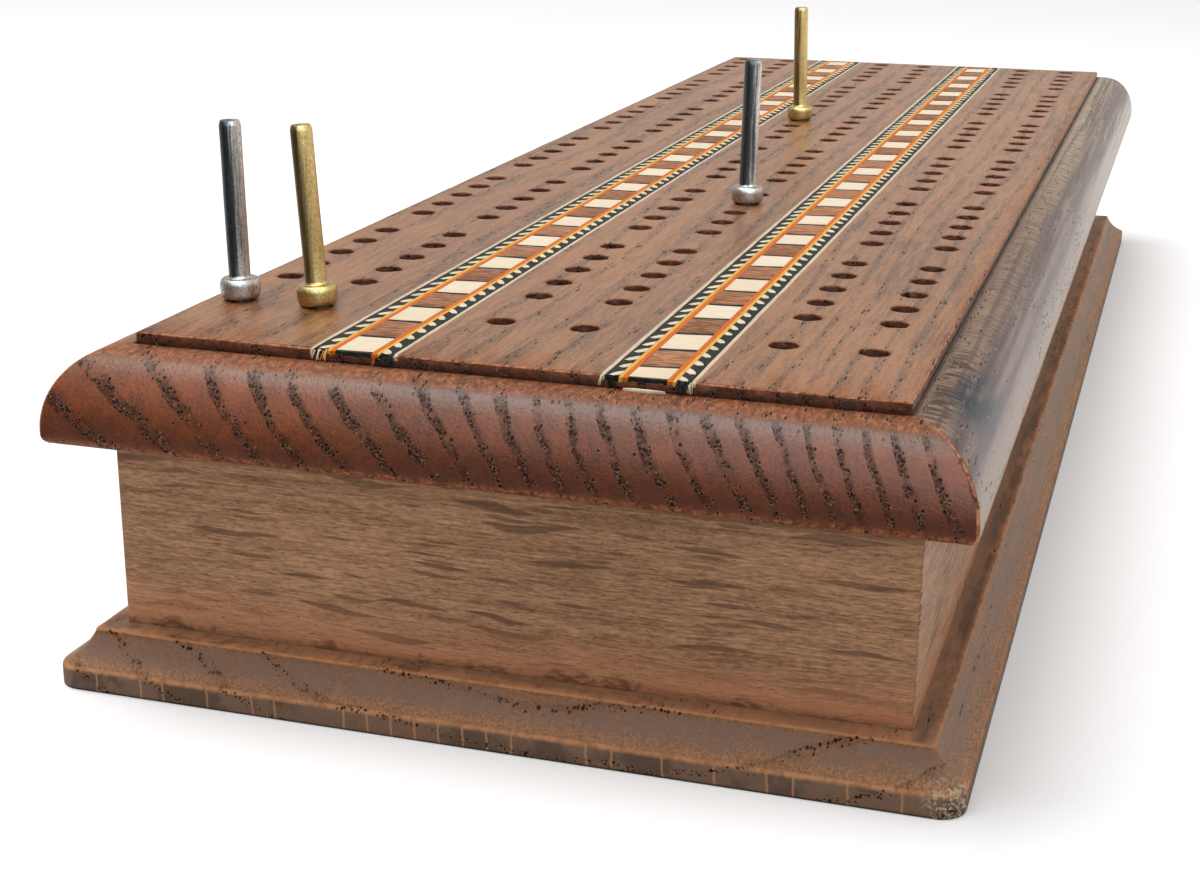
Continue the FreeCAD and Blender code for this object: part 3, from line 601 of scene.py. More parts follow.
def base_oak():
    """The base board's oak: thinner finish, fine open pores and dust at the case's foot.

    Rays cross its edge as thin light lines: one in some of the cells along it.
    """
    tones = bpy.context.scene.crib_finishes
    oak = Oak("base_oak", "Y", (6.0, 78.0), 3.7, 75.0, band=0.18)
    x, _, z = oak.axes
    texture, paint = oak.texture, oak.paint
    oak.open_pores(0.38, (0.2, 2.0), (0.0, 1.0), (0.01, 0.5))
    oak.grow(tones.base_light, tones.base_dark, tones.base_end, 0.9)
    paint(tones.base_low, texture(4.2, 3.4, 3.0, 0.75).ease(0.4, 0.62) * 0.62)
    grey = texture(0.25, 0.12, 4.0, 0.65).ease(0.34, 0.58, 0.35, 1.0) * oak.tone
    paint(tones.base_grey, grey * 0.75)

    # The upright edge has greyed, and the ledge is soiled; the ledge also gets a painted highlight
    # that lifts the shade under the moulding.
    edge = z.fade(1.95, 2.25)
    paint(tones.base_edge, edge * 0.6)
    # Painted highlight: the up-facing ledge painted lighter.
    level = z.ease(5.1, 5.3)
    paint(tones.base_worn, level * texture(1.2, 0.5, 3.0).ease(0.3, 0.6, 0.15, 0.75))
    smudge = texture(0.16, 0.4, 4.0, 0.65).ease(0.46, 0.58)
    smudge *= edge.most(level * x.ease(-10.0, 15.0, 1.0, 0.3))
    paint(tones.base_low, smudge * 0.6)
    soiled = level * x.ease(38.5, 40.0, 0.0, 0.8)
    paint(tones.base_low, soiled * texture(0.9, 0.12, 3.0).ease(0.34, 0.6, 0.3, 1.0))

    # Thin light rays slant across the edge.
    slant = z * 0.02 + x * 0.42 + texture(0.5, 0.2) * 0.12
    line = abs(slant.math("FRACT") - 0.5).fade(0.02, 0.07)
    line *= oak.recipe.draw(slant).math("LESS_THAN", 0.62)
    paint(tones.base_worn, line * edge * oak.end * 0.6)

    # Rubbed arrises, a painted contact shadow along the bottom, dust at the foot and the chipped
    # corner.
    oak.rub(tones.base_light, tones.base_worn, 0.68)
    # Painted shadow: dark along the bottom, where the base meets the floor.
    paint(tones.pore, z.ease(0.12, 0.3, 0.85, 0.0))
    paint(tones.dust, texture(4.5, 3.6, 3.0).ease(0.44, 0.56) * oak.raw * 0.7)
    crumbs = texture(2.4, 2.0, 4.0, 0.7).ease(0.5, 0.57)
    crumbs *= oak.around((BASE_HIGH[0], BASE_LOW[1], 1.8), 4.2, 2.5)
    paint(tones.crumbs, crumbs * 0.85)
    return oak.finish(tones.pore, tones.base_light, 0.5, 0.14, 0.3, 1.4)


def wall_oak(name, grain, pith):
    """Quarter-sawn oak of the case, with darker lens-shaped flecks where rays come up."""
    tones = bpy.context.scene.crib_finishes
    oak = Oak(name, grain, pith, 2.2, 90.0, band=0.4)
    r, texture, paint = oak.recipe, oak.texture, oak.paint
    oak.fibre = texture(4.4, 0.32, 4.0, 0.65)
    oak.mottle = texture(0.8, 0.045, 4.0, 0.65)
    oak.open_pores(0.3, (0.14, 1.0), (0.3, 0.5), (0.12, 0.3))
    oak.grow(tones.wall_light, tones.wall_dark, tones.base_end, 1.75, ringed=0.06, streaked=1.2)

    # Flecks lie along a grain that wanders, in two sizes.
    bend = (texture(0.07, 0.035, 1.0) - 0.5) * 4.0 + (texture(0.16, 0.13, 1.0) - 0.5) * 1.7
    straight = oak.cross
    oak.cross = r.stretch(straight, r.add("CombineXYZ", {0: bend, 1: bend}), "ADD")
    large, _ = oak.cells((1.0, 1.6, 20.0), 0.07, 0.22, 0.78, 0.05, 1.3, flat=True)
    small, _ = oak.cells((1.0, 0.9, 9.0), 0.06, 0.3, 0.5, 0.1, 1.4, flat=True)
    oak.cross = straight
    patch = texture(0.05, 0.03).ease(0.34, 0.6, 0.5, 0.75)
    paint(tones.wall_fleck, large.most(small * 0.75) * patch)

    # Along the foot: redder wood with painted light from the floor, and dirt; and fine dark lines
    # under the board, painted shade under its overhang.
    z = oak.axes[2]
    # Painted light: lighter and redder towards the foot, over redder wood.
    foot = z.fade(4.5, 12.0) * texture(0.7, 0.05, 3.0).ease(0.3, 0.6, 0.2, 0.7)
    paint(tones.wall_foot, foot)
    height = texture(0.12, 0.16, 4.0, 0.65).ease(0.46, 0.66) * -1.3 + z
    soiled = texture(2.6, 0.9, 4.0, 0.7).ease(0.36, 0.56, 0.1, 0.9)
    paint(tones.wall_dirt, height.ease(4.9, 5.9, 0.85, 0.0) * soiled)
    # Painted shade: fine dark lines at the top, under the board's overhang.
    lines = texture(1.6, 0.02, 3.0).ease(0.36, 0.6) * z.ease(21.0, 24.3)
    paint(tones.wall_fleck, lines * 0.85)
    return oak.finish(tones.wall_pore, tones.wall_light, 0.5, 0.09, 0.3, 1.4)


def lining_oak():
    """Pale, unvarnished oak of the drawer's sides, back, bottom and divider."""
    tones = bpy.context.scene.crib_finishes
    oak = Oak("pale_drawer_oak", "Y", (-20.0, -60.0), 3.4, 70.0)
    oak.open_pores(0.3, (0.26, 3.6), (0.03, 0.7), (0.03, 0.7))
    oak.grow(tones.lining_light, tones.lining_dark, linear(226, 206, 184), 0.8)
    return oak.finish(tones.wall_pore, tones.lining_light, 0.65, 0.06, 0.3, 1.4)


def veneer(name, colour, streak, lean, contrast=0.75, depth=0.03):
    """Dyed or plain veneer: fine streaks, longest where lean is least, and each piece's tone."""
    r = recipe_for(name)
    fine = r.noise(r.stretch(r.place(), lean), 3.0, 0.65)
    dark = fine.ease(0.36, 0.68) * contrast + r.mark("tone") * 0.4 - 0.15
    shaded = r.mix(dark, colour, streak)
    return r.finish(shaded, 0.5, fine, depth, IOR=1.4, Specular_IOR_Level=0.14)


def turned_metal(name, bright, dull, stain, polish):
    """Turned metal that has been handled: streaks along it, specks, and one side painted dark,
    painted shade and reflection with tarnish.
    """
    r = recipe_for(name)
    place = r.place()

    def texture(across, along, detail, roughness=0.5):
        return r.noise(r.stretch(place, (across, across, along)), detail, roughness)

    scratch = texture(9.0, 0.5, 3.0)
    spots = texture(7.0, 3.0, 4.0, 0.75)
    # The wear mark is a peg's painted dark side, under streaks of tarnish.
    shade_and_tarnish = (texture(3.2, 0.12, 3.0, 0.6) - 0.5) * 1.5 + r.mark("wear")
    colour = r.mix(scratch.ease(0.4, 0.7) * 0.45, bright, dull)
    for cover in (
        shade_and_tarnish.ease(0.25, 0.75) * 0.88, texture(3.5, 2.6, 4.0, 0.65).ease(0.57, 0.68) * 0.4,
        spots.ease(0.46, 0.6, 0.0, 0.45),
    ):
        colour = r.mix(cover, colour, stain)
    rough = scratch * 0.16 + spots * 0.3 + polish
    return r.finish(colour, rough, spots * 1.6 + scratch, 0.018, Metallic=1.0)


# Sizes and finishes that a user would change

def length_of(name, text, everyday, least, most):
    """A length property in scene units."""
    return bpy.props.FloatProperty(
        name=name, description=text, default=everyday, min=least, max=most, unit="LENGTH",
        precision=5,
    )


class CRIB_PG_sizes(bpy.types.PropertyGroup):
    arris: length_of(
        "Arris", "Radius to which the board's step is rubbed", 0.00022, 0.00005, 0.0006)
    rim: length_of(
        "Hole rim", "Width of the worn rim round each peg hole", 0.00014, 0.00002, 0.0005)
    slip_pitch: length_of(
        "Slip pitch", "Distance from one light slip of the rope to the next", 0.00274, 0.001,
        0.006)
    unevenness: length_of(
        "Unevenness", "How far hand work and wear leave an edge from true", 0.00006, 0.0, 0.0004)


# Each finish: its description, then its red, green and blue as a painter would mix them.
FINISHES = {
    "board_light": ("Lighter wood of the board", 156, 101, 60),
    "board_dark": ("Darker wood of the board", 88, 50, 28),
    "board_end": ("What end grain does to the wood's colour", 244, 187, 118),
    "board_band": ("Wood between the crowded pores", 52, 42, 36),
    # Painted highlight on the rims of the board's pores.
    "board_rim": ("Light rims of the open pores", 176, 136, 110),
    # Also painted low on the end mouldings as painted shade, besides a deeper tone in the end grain
    # and on bared places.
    "board_low": ("Finish that has pooled low on the moulding", 72, 32, 12),
    "board_torn": ("Torn end grain above the moulding", 138, 74, 40),
    "board_worn": ("Rubbed arrises of the board", 206, 138, 98),
    # Also painted as shade in the corners by the step and in the hollows of the torn folds.
    "grime": ("Dirt and old finish in the corners of the board", 48, 28, 22),
    "bore": ("Bare wood inside the holes", 84, 50, 36),
    # Painted reflection: the grey sheen of the right moulding at a low angle.
    "side_grey": ("Greyed wood of the right moulding", 124, 98, 78),
    # Painted highlight on the ridges of the torn folds.
    "side_light": ("Light folds of the torn grain beside the step", 146, 122, 104),
    # Painted reflection: the paler sheen low on the right moulding.
    "side_pale": ("Bleached wood low on the right moulding", 176, 156, 132),
    "stain": ("Old stain at one corner of the board", 5, 22, 40),
    # Painted reflection: the purplish sheen of the right moulding.
    "plum": ("Purplish streaks of the right moulding", 74, 49, 52),
    # Also the painted contact shadow along the bottom of the base.
    "pore": ("Open pores of the board and the base", 34, 23, 18),
    "base_light": ("Lighter wood of the base", 200, 143, 98),
    "base_dark": ("Darker wood of the base", 126, 86, 58),
    "base_end": ("What end grain does to the base's colour", 222, 210, 198),
    # Also the painted highlight on the base's ledge.
    "base_worn": ("Rubbed arrises of the base", 200, 142, 102),
    "base_grey": ("Greyed patches of the base", 124, 99, 86),
    "base_low": ("Darker specks of the base", 76, 60, 50),
    "base_edge": ("Greyed end grain of the base's edge", 120, 96, 78),
    "dust": ("Dust in the corner at the case's foot", 138, 126, 110),
    "crumbs": ("Chipped corner of the base", 206, 192, 166),
    "wall_light": ("Lighter wood of the case", 196, 150, 112),
    "wall_dark": ("Darker wood of the case", 126, 88, 62),
    # Also the painted shade under the board, at the top of the case.
    "wall_fleck": ("Lens-shaped flecks of the case", 96, 64, 44),
    # Painted light along the foot of the case, over redder wood.
    "wall_foot": ("Redder wood at the foot of the case", 206, 138, 98),
    "wall_dirt": ("Dirt along the foot of the case", 98, 62, 40),
    "wall_pore": ("Fine pores of the case", 122, 88, 64),
    "lining_light": ("Lighter wood of the drawer", 220, 192, 152),
    "lining_dark": ("Darker wood of the drawer", 184, 150, 112),
    "cream": ("Light blocks, slips and edge lines", 234, 220, 196),
    "brown": ("Brown blocks of the ladder", 190, 132, 94),
    "black": ("Bars and ropes", 13, 19, 20),
    "yellow": ("Yellow lines", 230, 172, 78),
    "orange": ("Orange lines", 208, 106, 24),
    "steel": ("Bright steel of two pegs", 196, 188, 182),
    "brass": ("Bright brass of two pegs and the knob", 204, 178, 122),
}


class CRIB_PG_finishes(bpy.types.PropertyGroup):
    __annotations__ = {
        key: bpy.props.FloatVectorProperty(
            name=key.replace("_", " ").capitalize(), description=text, subtype="COLOR", size=3,
            min=0.0, max=1.0, default=linear(*mix),
        )
        for key, (text, *mix) in FINISHES.items()
    }


class CRIB_PG_stage(bpy.types.PropertyGroup):
    dome: bpy.props.FloatProperty(
        name="Dome", description="Strength of the light from all round", default=0.72, min=0.0)
    lamp: bpy.props.FloatProperty(
        name="Lamp", description="Power of the soft lamp overhead", default=3.6, min=0.0,
        unit="POWER")


def size_of(name):
    """A size of the panel's properties, in millimetres."""
    return getattr(bpy.context.scene.crib_sizes, name) / MM


# Pieces

def hole_cells():
    """The strips of the panel between the bands: each hole's own rectangle of the surface."""
    edge = size_of("arris")
    walls = [corner[0] for band in BANDS for corner in BAND_BOX[band]]
    left, right = np.reshape([edge - PANEL_HALF_X, *walls, PANEL_HALF_X - edge], (3, 2)).T
    middle = ROWS_X.reshape(3, 2).mean(axis=1)
    middles = (HOLES_Y[1:] + HOLES_Y[:-1]) / 2
    ends = CENTRE_Y + np.array(SIDES) * (PANEL_HALF_Y - edge)
    limits_x = np.stack([left, middle, middle, right], -1).reshape(6, 2)
    return limits_x, joined(ends[:1], middles, ends[1:])


def drilled_panel():
    """The panel's face: each hole is a ring of points that opens out to its rectangle.

    A ring goes from the drill's point up the wall of the hole, over the worn rim and out
    across the face, where it blends from a circle to the rectangle's edge.
    """
    limits_x, limits_y = hole_cells()
    x0, x1 = limits_x.T[:, :, None, None]
    y0, y1 = limits_y[:-1, None], limits_y[1:, None]
    share = np.arange(FACETS) / FACETS
    border = np.concatenate([
        grid(x0 + (x1 - x0) * share, y0), grid(x1, y0 + (y1 - y0) * share),
        grid(x1 - (x1 - x0) * share, y1), grid(x0, y1 - (y1 - y0) * share),
    ], axis=2)
    count = 4 * FACETS
    angle = np.radians(-135) + np.arange(count) / count * 2 * np.pi
    around = grid(np.cos(angle), np.sin(angle))
    seat = grid(ROWS_X[:, None, None], HOLES_Y[:, None])
    torn = ripple(seat * 7 + around * 1.2, 1.1, 11)
    rim = size_of("rim") * (1 + 0.8 * torn)
    # Each ring's radius and depth, how raw it is and how worn.
    steps = [
        (0.0, HOLE_DEPTH + DRILL_POINT, 1, 0), (HOLE_RADIUS, HOLE_DEPTH, 1, 0),
        (HOLE_RADIUS, 3.0, 1, 0), (HOLE_RADIUS, 0.25, 0.9, 0.2),
        (HOLE_RADIUS + 0.3 * rim, 0.07, 0.4, 0.7), (HOLE_RADIUS + rim, 0.0, 0, 0.3),
    ]
    rings = [
        lift(seat + around * np.asarray(radius)[..., None], BOARD_TOP - down)
        for radius, down, _, _ in steps
    ]
    near = seat + around * (HOLE_RADIUS + 0.6)
    rings += [lift(near * (1 - out) + border * out, BOARD_TOP) for out in (0.0, 0.45, 1.0)]
    raw, wear = (
        joined([step[mark] for step in steps], [0, 0, 0])[:, None] for mark in (2, 3)
    )
    return Sheet(np.stack(rings, axis=2), raw=raw, wear=wear, wrap=True)


def board_profile(edge):
    """The board's edge from the panel's face: step, land, thumbnail and rounded underside."""
    step_foot = BOARD_TOP - STEP_DEPTH
    land, reach = 1.0, BOARD_HIGH[0] - PANEL_HALF_X
    foot, under = step_foot - 7.5, BOARD_LOW[2]
    profile = joined(
        arc((-edge, BOARD_TOP - edge), (edge, edge), 90, 0, 5),
        [(0.0, step_foot + 0.25), (0.01, step_foot - 0.2), (0.18, step_foot - 0.22)],
        [(0.3, step_foot - 0.03), (0.6, step_foot)],
        arc((land, foot), (reach - land, step_foot - foot), 90, 0, 22),
        arc((reach - 0.9, under + 0.9), (0.9, 0.9), 0, -90, 7),
        [(4.0, under), (1.0, under), (-8.0, under)],
    )
    rubbed = joined(
        [0.2, 0.8, 1, 0.9, 0.4], [0.3, 0.1, 0.1, 0.5, 0.6], [0.6] * 5, [0.4, 0.05],
        [0.03] * 14, [0.15], [0.25, 0.4, 0.5, 0.5, 0.4, 0.3, 0.2], [0, 0, 0],
    )
    return profile, rubbed


def make_board():
    """Pegging board: the drilled panel, the moulding carried round it and its underside."""
    limits_x, limits_y = hole_cells()

    def filled(limits):
        """A run of places with so many steps from each limit to the next."""
        steps = np.diff(limits)[:, None] * np.arange(FACETS) / FACETS
        return np.append((limits[:-1, None] + steps).ravel(), limits[-1])

    def way_round(end, corner, side):
        """Values along the ring: an end, a corner, a side and a corner, then again."""
        return joined(end, corner, side, corner, end[::-1], corner, side, corner)

    run_x, caps, run_y = [], [], filled(limits_y)
    for lane in range(3):
        left, right = limits_x[2 * lane : 2 * lane + 2]
        run_x.append(filled(np.append(left, right[1])))
        caps.append([BOARD_TOP] * len(run_x[-1]))
        if lane < 2:
            run_x.append([corner[0] for corner in BAND_BOX[BANDS[lane]]])
            caps.append([CHANNEL_FLOOR] * 2)
    run_x, flat = joined(*run_x), np.ones(len(run_y))
    profile, rubbed = board_profile(size_of("arris"))
    ring = carry_round((PANEL_HALF_X, PANEL_HALF_Y), profile, 0.35, (run_x, run_y - CENTRE_Y))
    bite = ripple(ring, 9.0, 3) + 0.7 * ripple(ring, 2.3, 4)
    fixed = joined([0], np.ones(len(profile) - 4), [0, 0, 0])
    shift = (rubbed * fixed)[:, None] * size_of("unevenness") * (bite - 0.6)
    push_out(ring, shift)
    caps = way_round(joined(*caps), [BOARD_TOP] * CORNER_STEPS, BOARD_TOP * flat)
    ring[..., 2] = np.minimum(ring[..., 2] + shift * 0.6, caps)

    # Wear: all of the arris, less of the torn foot along the sides, and the open mitres.
    offset, height = profile.T
    bare = np.zeros(len(run_x))
    mitre = way_round(bare, [0, 0.95, 0.95, 0.95, 0.95, 0], 0 * flat)
    share = way_round(1 + bare, np.ones(CORNER_STEPS), 0.35 * flat)
    torn = (offset > 0.25) & (height > 30.0)
    wear = rubbed[:, None] * np.where(torn[:, None], share, 1.0)
    wear = np.maximum(wear, mitre * (offset > 2.6)[:, None])
    # Grime and painted shade: thicker towards the foot of the step, in the quirk where shade falls,
    # thinning out over the land.
    grime = np.where(
        offset < 0.02, np.interp(BOARD_TOP - height, [0, 0.25, 1.0, 1.4], [0, 0.6, 0.85, 1]),
        np.interp(offset, [0.02, 0.3, 0.9, 1.6], [1, 0.7, 0.25, 0]),
    ) * (offset > -0.01)
    sheets = [
        drilled_panel(), Sheet(ring, wear=wear, tone=grime[:, None], wrap=True), Lid(ring[-1:]),
    ]
    for band in BANDS:
        (left, _, floor), (right, _, top) = BAND_BOX[band]
        section = np.array([(left, top), (left, floor), (right, floor), (right, top)])
        sheets.append(Sheet(grid(section[:, :1], run_y, section[:, 1:])))
    make_piece("moulded_pegging_board", sheets, board_oak(), ["pegging_board"])


def evenly(half):
    """Places from -half to half about a millimetre apart."""
    return np.linspace(-half, half, int(round(2 * half)) + 1)


def make_base():
    """Base board: ledge, quirk, cove and edge carried round the case, then both faces."""
    top = BASE_HIGH[2]
    ledge, reach = 2.3, BASE_HIGH[0] - CASE_HALF_X
    cove_top, cove_foot, cove_radius = top - 0.3, top - 3.1, 6.0
    # The cove's centre lies off the middle of the chord between its two ends.
    chord = np.array([reach - ledge, cove_foot - cove_top])
    length = np.hypot(*chord)
    rise = math.sqrt(cove_radius ** 2 - length ** 2 / 4)
    centre = (ledge, cove_top) + chord / 2 + np.array([-chord[1], chord[0]]) / length * rise
    start = math.degrees(math.atan2(cove_top - centre[1], ledge - centre[0]))
    end = math.degrees(math.atan2(cove_foot - centre[1], reach - centre[0]))
    profile = joined(
        [(-6.0, top), (-0.2, top), (0.35, top), (0.9, top), (1.5, top)],
        arc((ledge - 0.2, top - 0.2), (0.2, 0.2), 90, 0, 4),
        arc(centre, (cove_radius, cove_radius), start % 360, end % 360, 12)[:-1],
        arc((reach - 0.25, cove_foot - 0.22), (0.25, 0.25), 60, 0, 4),
        [(reach, cove_foot - 0.5), (reach, 0.45)],
        arc((reach - 0.15, 0.15), (0.15, 0.15), 0, -90, 3),
        [(3.0, 0.0), (-6.0, 0.0)],
    )
    offset, height = profile.T
    rubbed = joined(
        [0] * 5, [0.4, 0.9, 0.9, 0.5, 0.1], [0] * 10, [0.8, 1, 0.9, 0.5, 0.04, 0.04], [0] * 5,
    )
    dusty = joined([0, 1, 0.95, 0.5, 0.1], [0] * (len(profile) - 5))
    radii = joined([0.3] * 9, np.linspace(0.3, 2.5, 12)[:-1], [2.5] * (len(profile) - 20))
    runs = (evenly(CASE_HALF_X), evenly(CASE_HALF_Y))
    ring = carry_round((CASE_HALF_X, CASE_HALF_Y), profile, radii, runs, corner_steps=9)
    bite = ripple(ring, 11.0, 21) + 0.8 * ripple(ring, 2.8, 22)
    shift = rubbed[:, None] * size_of("unevenness") * (bite - 0.7)
    # The near right corner is chipped.
    away = np.linalg.norm(ring - (BASE_HIGH[0], BASE_LOW[1], 1.5), axis=-1)
    chipped = np.clip(1 - away / 3.6, 0, 1) * np.clip(0.5 + 0.5 * ripple(ring, 1.5, 23), 0, 1)
    shift -= 0.5 * chipped * (rubbed > 0)[:, None]
    push_out(ring, shift)
    ring[..., 2] = np.clip(ring[..., 2] + shift * 0.5 * (height > 1.0)[:, None], 0.0, top)
    greyed = np.interp(
        offset, [ledge, ledge + 0.2, 3.8, 4.5, reach - 0.2, reach], [0.1, 1, 0.9, 0.15, 0.05, 1],
    )
    marks = {"wear": rubbed[:, None], "raw": dusty[:, None], "tone": greyed[:, None]}
    sheets = [Sheet(ring, wrap=True, **marks), Lid(ring[:1]), Lid(ring[-1:])]
    make_piece("coved_base_board", sheets, base_oak(), ["base_board"])


def make_walls():
    """Case: three mitred walls, each rounded a little where it meets the next."""
    near, far = CENTRE_Y - CASE_HALF_Y, CENTRE_Y + CASE_HALF_Y
    inner_x, inner_y = CASE_HALF_X - WALL_THICKNESS, box_of("end_wall")[1][1]
    soft = 0.4

    def rounded(side, start, end):
        """Part of the rounded edge between two walls."""
        middle = (side * (CASE_HALF_X - soft), near + soft)
        return arc(middle, (side * soft, soft), start, end, 4)

    def side_plan(side):
        inside = [(side * CASE_HALF_X, far), (side * inner_x, far), (side * inner_x, inner_y)]
        return joined(rounded(side, -45, 0), inside)

    end_plan = joined(
        rounded(1, -90, -45), [(inner_x, inner_y), (-inner_x, inner_y)], rounded(-1, -45, -90),
    )
    for name, plan, grain, pith in (
        ("left_side_wall", side_plan(-1), "Y", (-120.0, 30.0)),
        ("right_side_wall", side_plan(1), "Y", (-60.0, 10.0)),
        ("end_wall", end_plan, "X", (-160.0, -70.0)),
    ):
        sheets = closed(np.stack([lift(plan, WALL_LOW[2]), lift(plan, WALL_HIGH[2])]))
        oak = wall_oak(f"{name}_oak", grain, pith)
        make_piece(f"mitred_{name}", sheets, oak, [name])


def strip_of(left, right, y, top, floor, crown=0.03):
    """A long inlaid line between two edges along y, with a crowned top."""
    rows = [(0, floor), (0, top - crown), (0.3, top), (0.7, top), (1, top - crown), (1, floor)]
    section = [grid(left * (1 - share) + right * share, y, level) for share, level in rows]
    return closed(np.stack(section, axis=1))


def blocks(outlines, top, floor, tones, crown=0.035, inset=0.07):
    """Inlaid pieces: each outline in plan goes straight up, then in over a rubbed edge."""
    inner = outlines + unit(outlines.mean(axis=1, keepdims=True) - outlines) * inset
    level = np.broadcast_to(top, len(outlines))[:, None]
    rings = [lift(outlines, floor), lift(outlines, level - crown), lift(inner, level)]
    return closed(np.stack(rings, axis=1), tone=np.asarray(tones)[:, None, None])


def ladder_outlines(limits, x0, x1):
    """Outlines of what lies between each two limits across the ladder: limits[k, edge]."""
    cut = np.linspace(0, 1, 5)
    rungs = grid(x0 + (x1 - x0) * cut, limits[:, :1] * (1 - cut) + limits[:, 1:] * cut)
    return np.concatenate([rungs[:-1], rungs[1:, ::-1]], axis=1)


def make_ladder(band, inks, draw):
    """Ladder: light blocks, brown blocks and thin black bars, cut by eye a little askew."""
    (x0, y0, floor), (x1, _, top) = LADDER_BOX[band]
    y1 = BAND_BOX[band][1][1]
    bar, light, brown, face = 0.6, 5.4, 5.8, 0.35
    # The first light block is shorter by what the end of the board cut off.
    cut_off, lean = (face, 0.08) if band == "left" else (2.1, 0.2)
    repeats = int((y1 - y0) / (light + brown + 2 * bar)) + 2
    kinds = ["face"] + ["light", "bar", "brown", "bar"] * repeats
    lengths = [face] + [light, bar, brown, bar] * repeats
    lengths[1] -= cut_off
    limits = np.minimum(y0 + np.cumsum([0.0] + lengths), y1)
    last = np.flatnonzero(np.diff(limits) > 0.01)[-1]
    limits, kinds = limits[: last + 2], np.array(kinds[: last + 1])
    skew = draw.normal(lean, 0.07, len(limits))
    slide = draw.normal(0, 0.05, len(limits))
    skew[[0, -1]] = slide[[0, -1]] = 0.0
    edges = grid(limits + slide - skew, limits + slide + skew)
    outlines = ladder_outlines(edges, x0 + 0.01, x1 - 0.01)
    level = top + draw.uniform(-0.03, 0.0, len(kinds))
    level[kinds == "face"] = top - 0.08
    kinds[kinds == "face"] = "bar"
    for kind, noun, slot in (
        ("light", "light_blocks", "banding_holly"), ("brown", "brown_blocks", "banding_walnut"),
        ("bar", "black_bars", "banding_black"),
    ):
        pick = kinds == kind
        sheets = blocks(outlines[pick], level[pick], floor, draw.uniform(0, 1, pick.sum()))
        name = f"{band}_band_{noun}"
        make_piece(f"{name}_cut", sheets, inks[kind], [name])


def make_ropes(band, inks, draw):
    """Ropes: a black strip on each side with light slips let in, tapering outwards.

    Each slip is a leaf that starts on the yellow line and runs out and back towards the
    near end, so that the two sides of a band point the same way.
    """
    name = f"{band}_band_ropes"
    outer = box_of(name)
    (_, y0, floor), (_, y1, top) = outer
    along = np.linspace(y0, y1, 240)
    grounds, slips = [], []
    pitch = size_of("slip_pitch")
    count = int((y1 - y0) / pitch)
    for side, start, end in zip(SIDES, box_of(f"{band}_band_yellow_lines"), outer):
        left, right = sorted((start[0], end[0]))
        grounds += strip_of(left, right, along, top - 0.02, floor, 0.02)
        foot = y0 + pitch * (np.arange(count) + 0.62) + draw.normal(0, 0.07, count)
        reach = (right - left) * draw.uniform(0.66, 0.82, count)
        thick = pitch * draw.uniform(0.36, 0.48, count)
        drop = reach * draw.uniform(0.95, 1.3, count)
        # Each corner of a leaf: how far out it lies, and how far back in drops and in widths.
        leaf = np.array([
            (0, 0, 0), (0.45, 0.36, 0), (0.85, 0.86, 0), (1, 1, 0.4), (0.5, 0.62, 0.88), (0, 0, 1),
        ])[:, :, None]
        x = start[0] + side * (reach * leaf[:, 0] + 0.01)
        y = np.maximum(foot - drop * leaf[:, 1] - thick * leaf[:, 2], y0 + 0.02)
        plan = grid(x, y).swapaxes(0, 1)
        level = top + draw.uniform(-0.012, 0.0, count)
        slips += blocks(plan, level, top - 0.3, draw.uniform(0, 1, count), 0.02, 0.03)
    make_piece(f"{name}_ground", grounds, inks["bar"], [name])
    make_piece(f"{name}_slips", slips, inks["slip"])


def make_lines(band, inks):
    """Lines: yellow, orange and light veneer on edge, wandering a little along the board."""
    for seed, (ink, width, slot) in enumerate((
        ("orange", 0.5, "banding_orange"), ("yellow", 0.35, "banding_yellow"),
        ("edge", 0.42, "banding_holly"),
    )):
        name = f"{band}_band_{ink}_lines"
        (x0, y0, floor), (x1, y1, top) = box_of(name)
        along = np.linspace(y0 - 0.05, y1, 320)
        droop = -0.12 * np.clip(1 - (along - along[0]) / 0.5, 0, 1) ** 2
        sheets = []
        for side, left in zip(SIDES, (x0, x1 - width)):
            spread = 2 * seed + side + len(band)
            drift = 0.03 * ripple(along[:, None], 14.0, 40 + spread) * (ink == "edge")
            swell = 0.03 * ripple(1.7 * along[:, None], 14.0, 60 + spread)
            sheets += strip_of(left + drift, left + width + swell, along, top + droop, floor)
        make_piece(f"{name}_laid", sheets, inks[ink], [name])


def strands(starts, ends, sags, radii, tones):
    """Loose fibres: each a tapered tube along a curve that sags from start to end."""
    t = np.linspace(0, 1, 9)[:, None]
    starts, ends, sags = np.array([starts, ends, sags])[:, :, None]
    spine = starts + (ends - starts) * t + sags * 4 * t * (1 - t)
    along = unit(ends - starts)
    side = unit(np.cross(along, (0.31, 0.22, 0.92)))
    other = np.cross(along, side)
    angle = (np.arange(6) / 6 * 2 * np.pi)[:, None]
    thick = np.array(radii)[:, None, None] * (1 - 0.75 * t)
    ring = side[:, :, None] * np.cos(angle) + other[:, :, None] * np.sin(angle)
    points = spine[:, :, None] + ring * thick[..., None]
    return closed(points, tone=np.asarray(tones)[:, None, None])


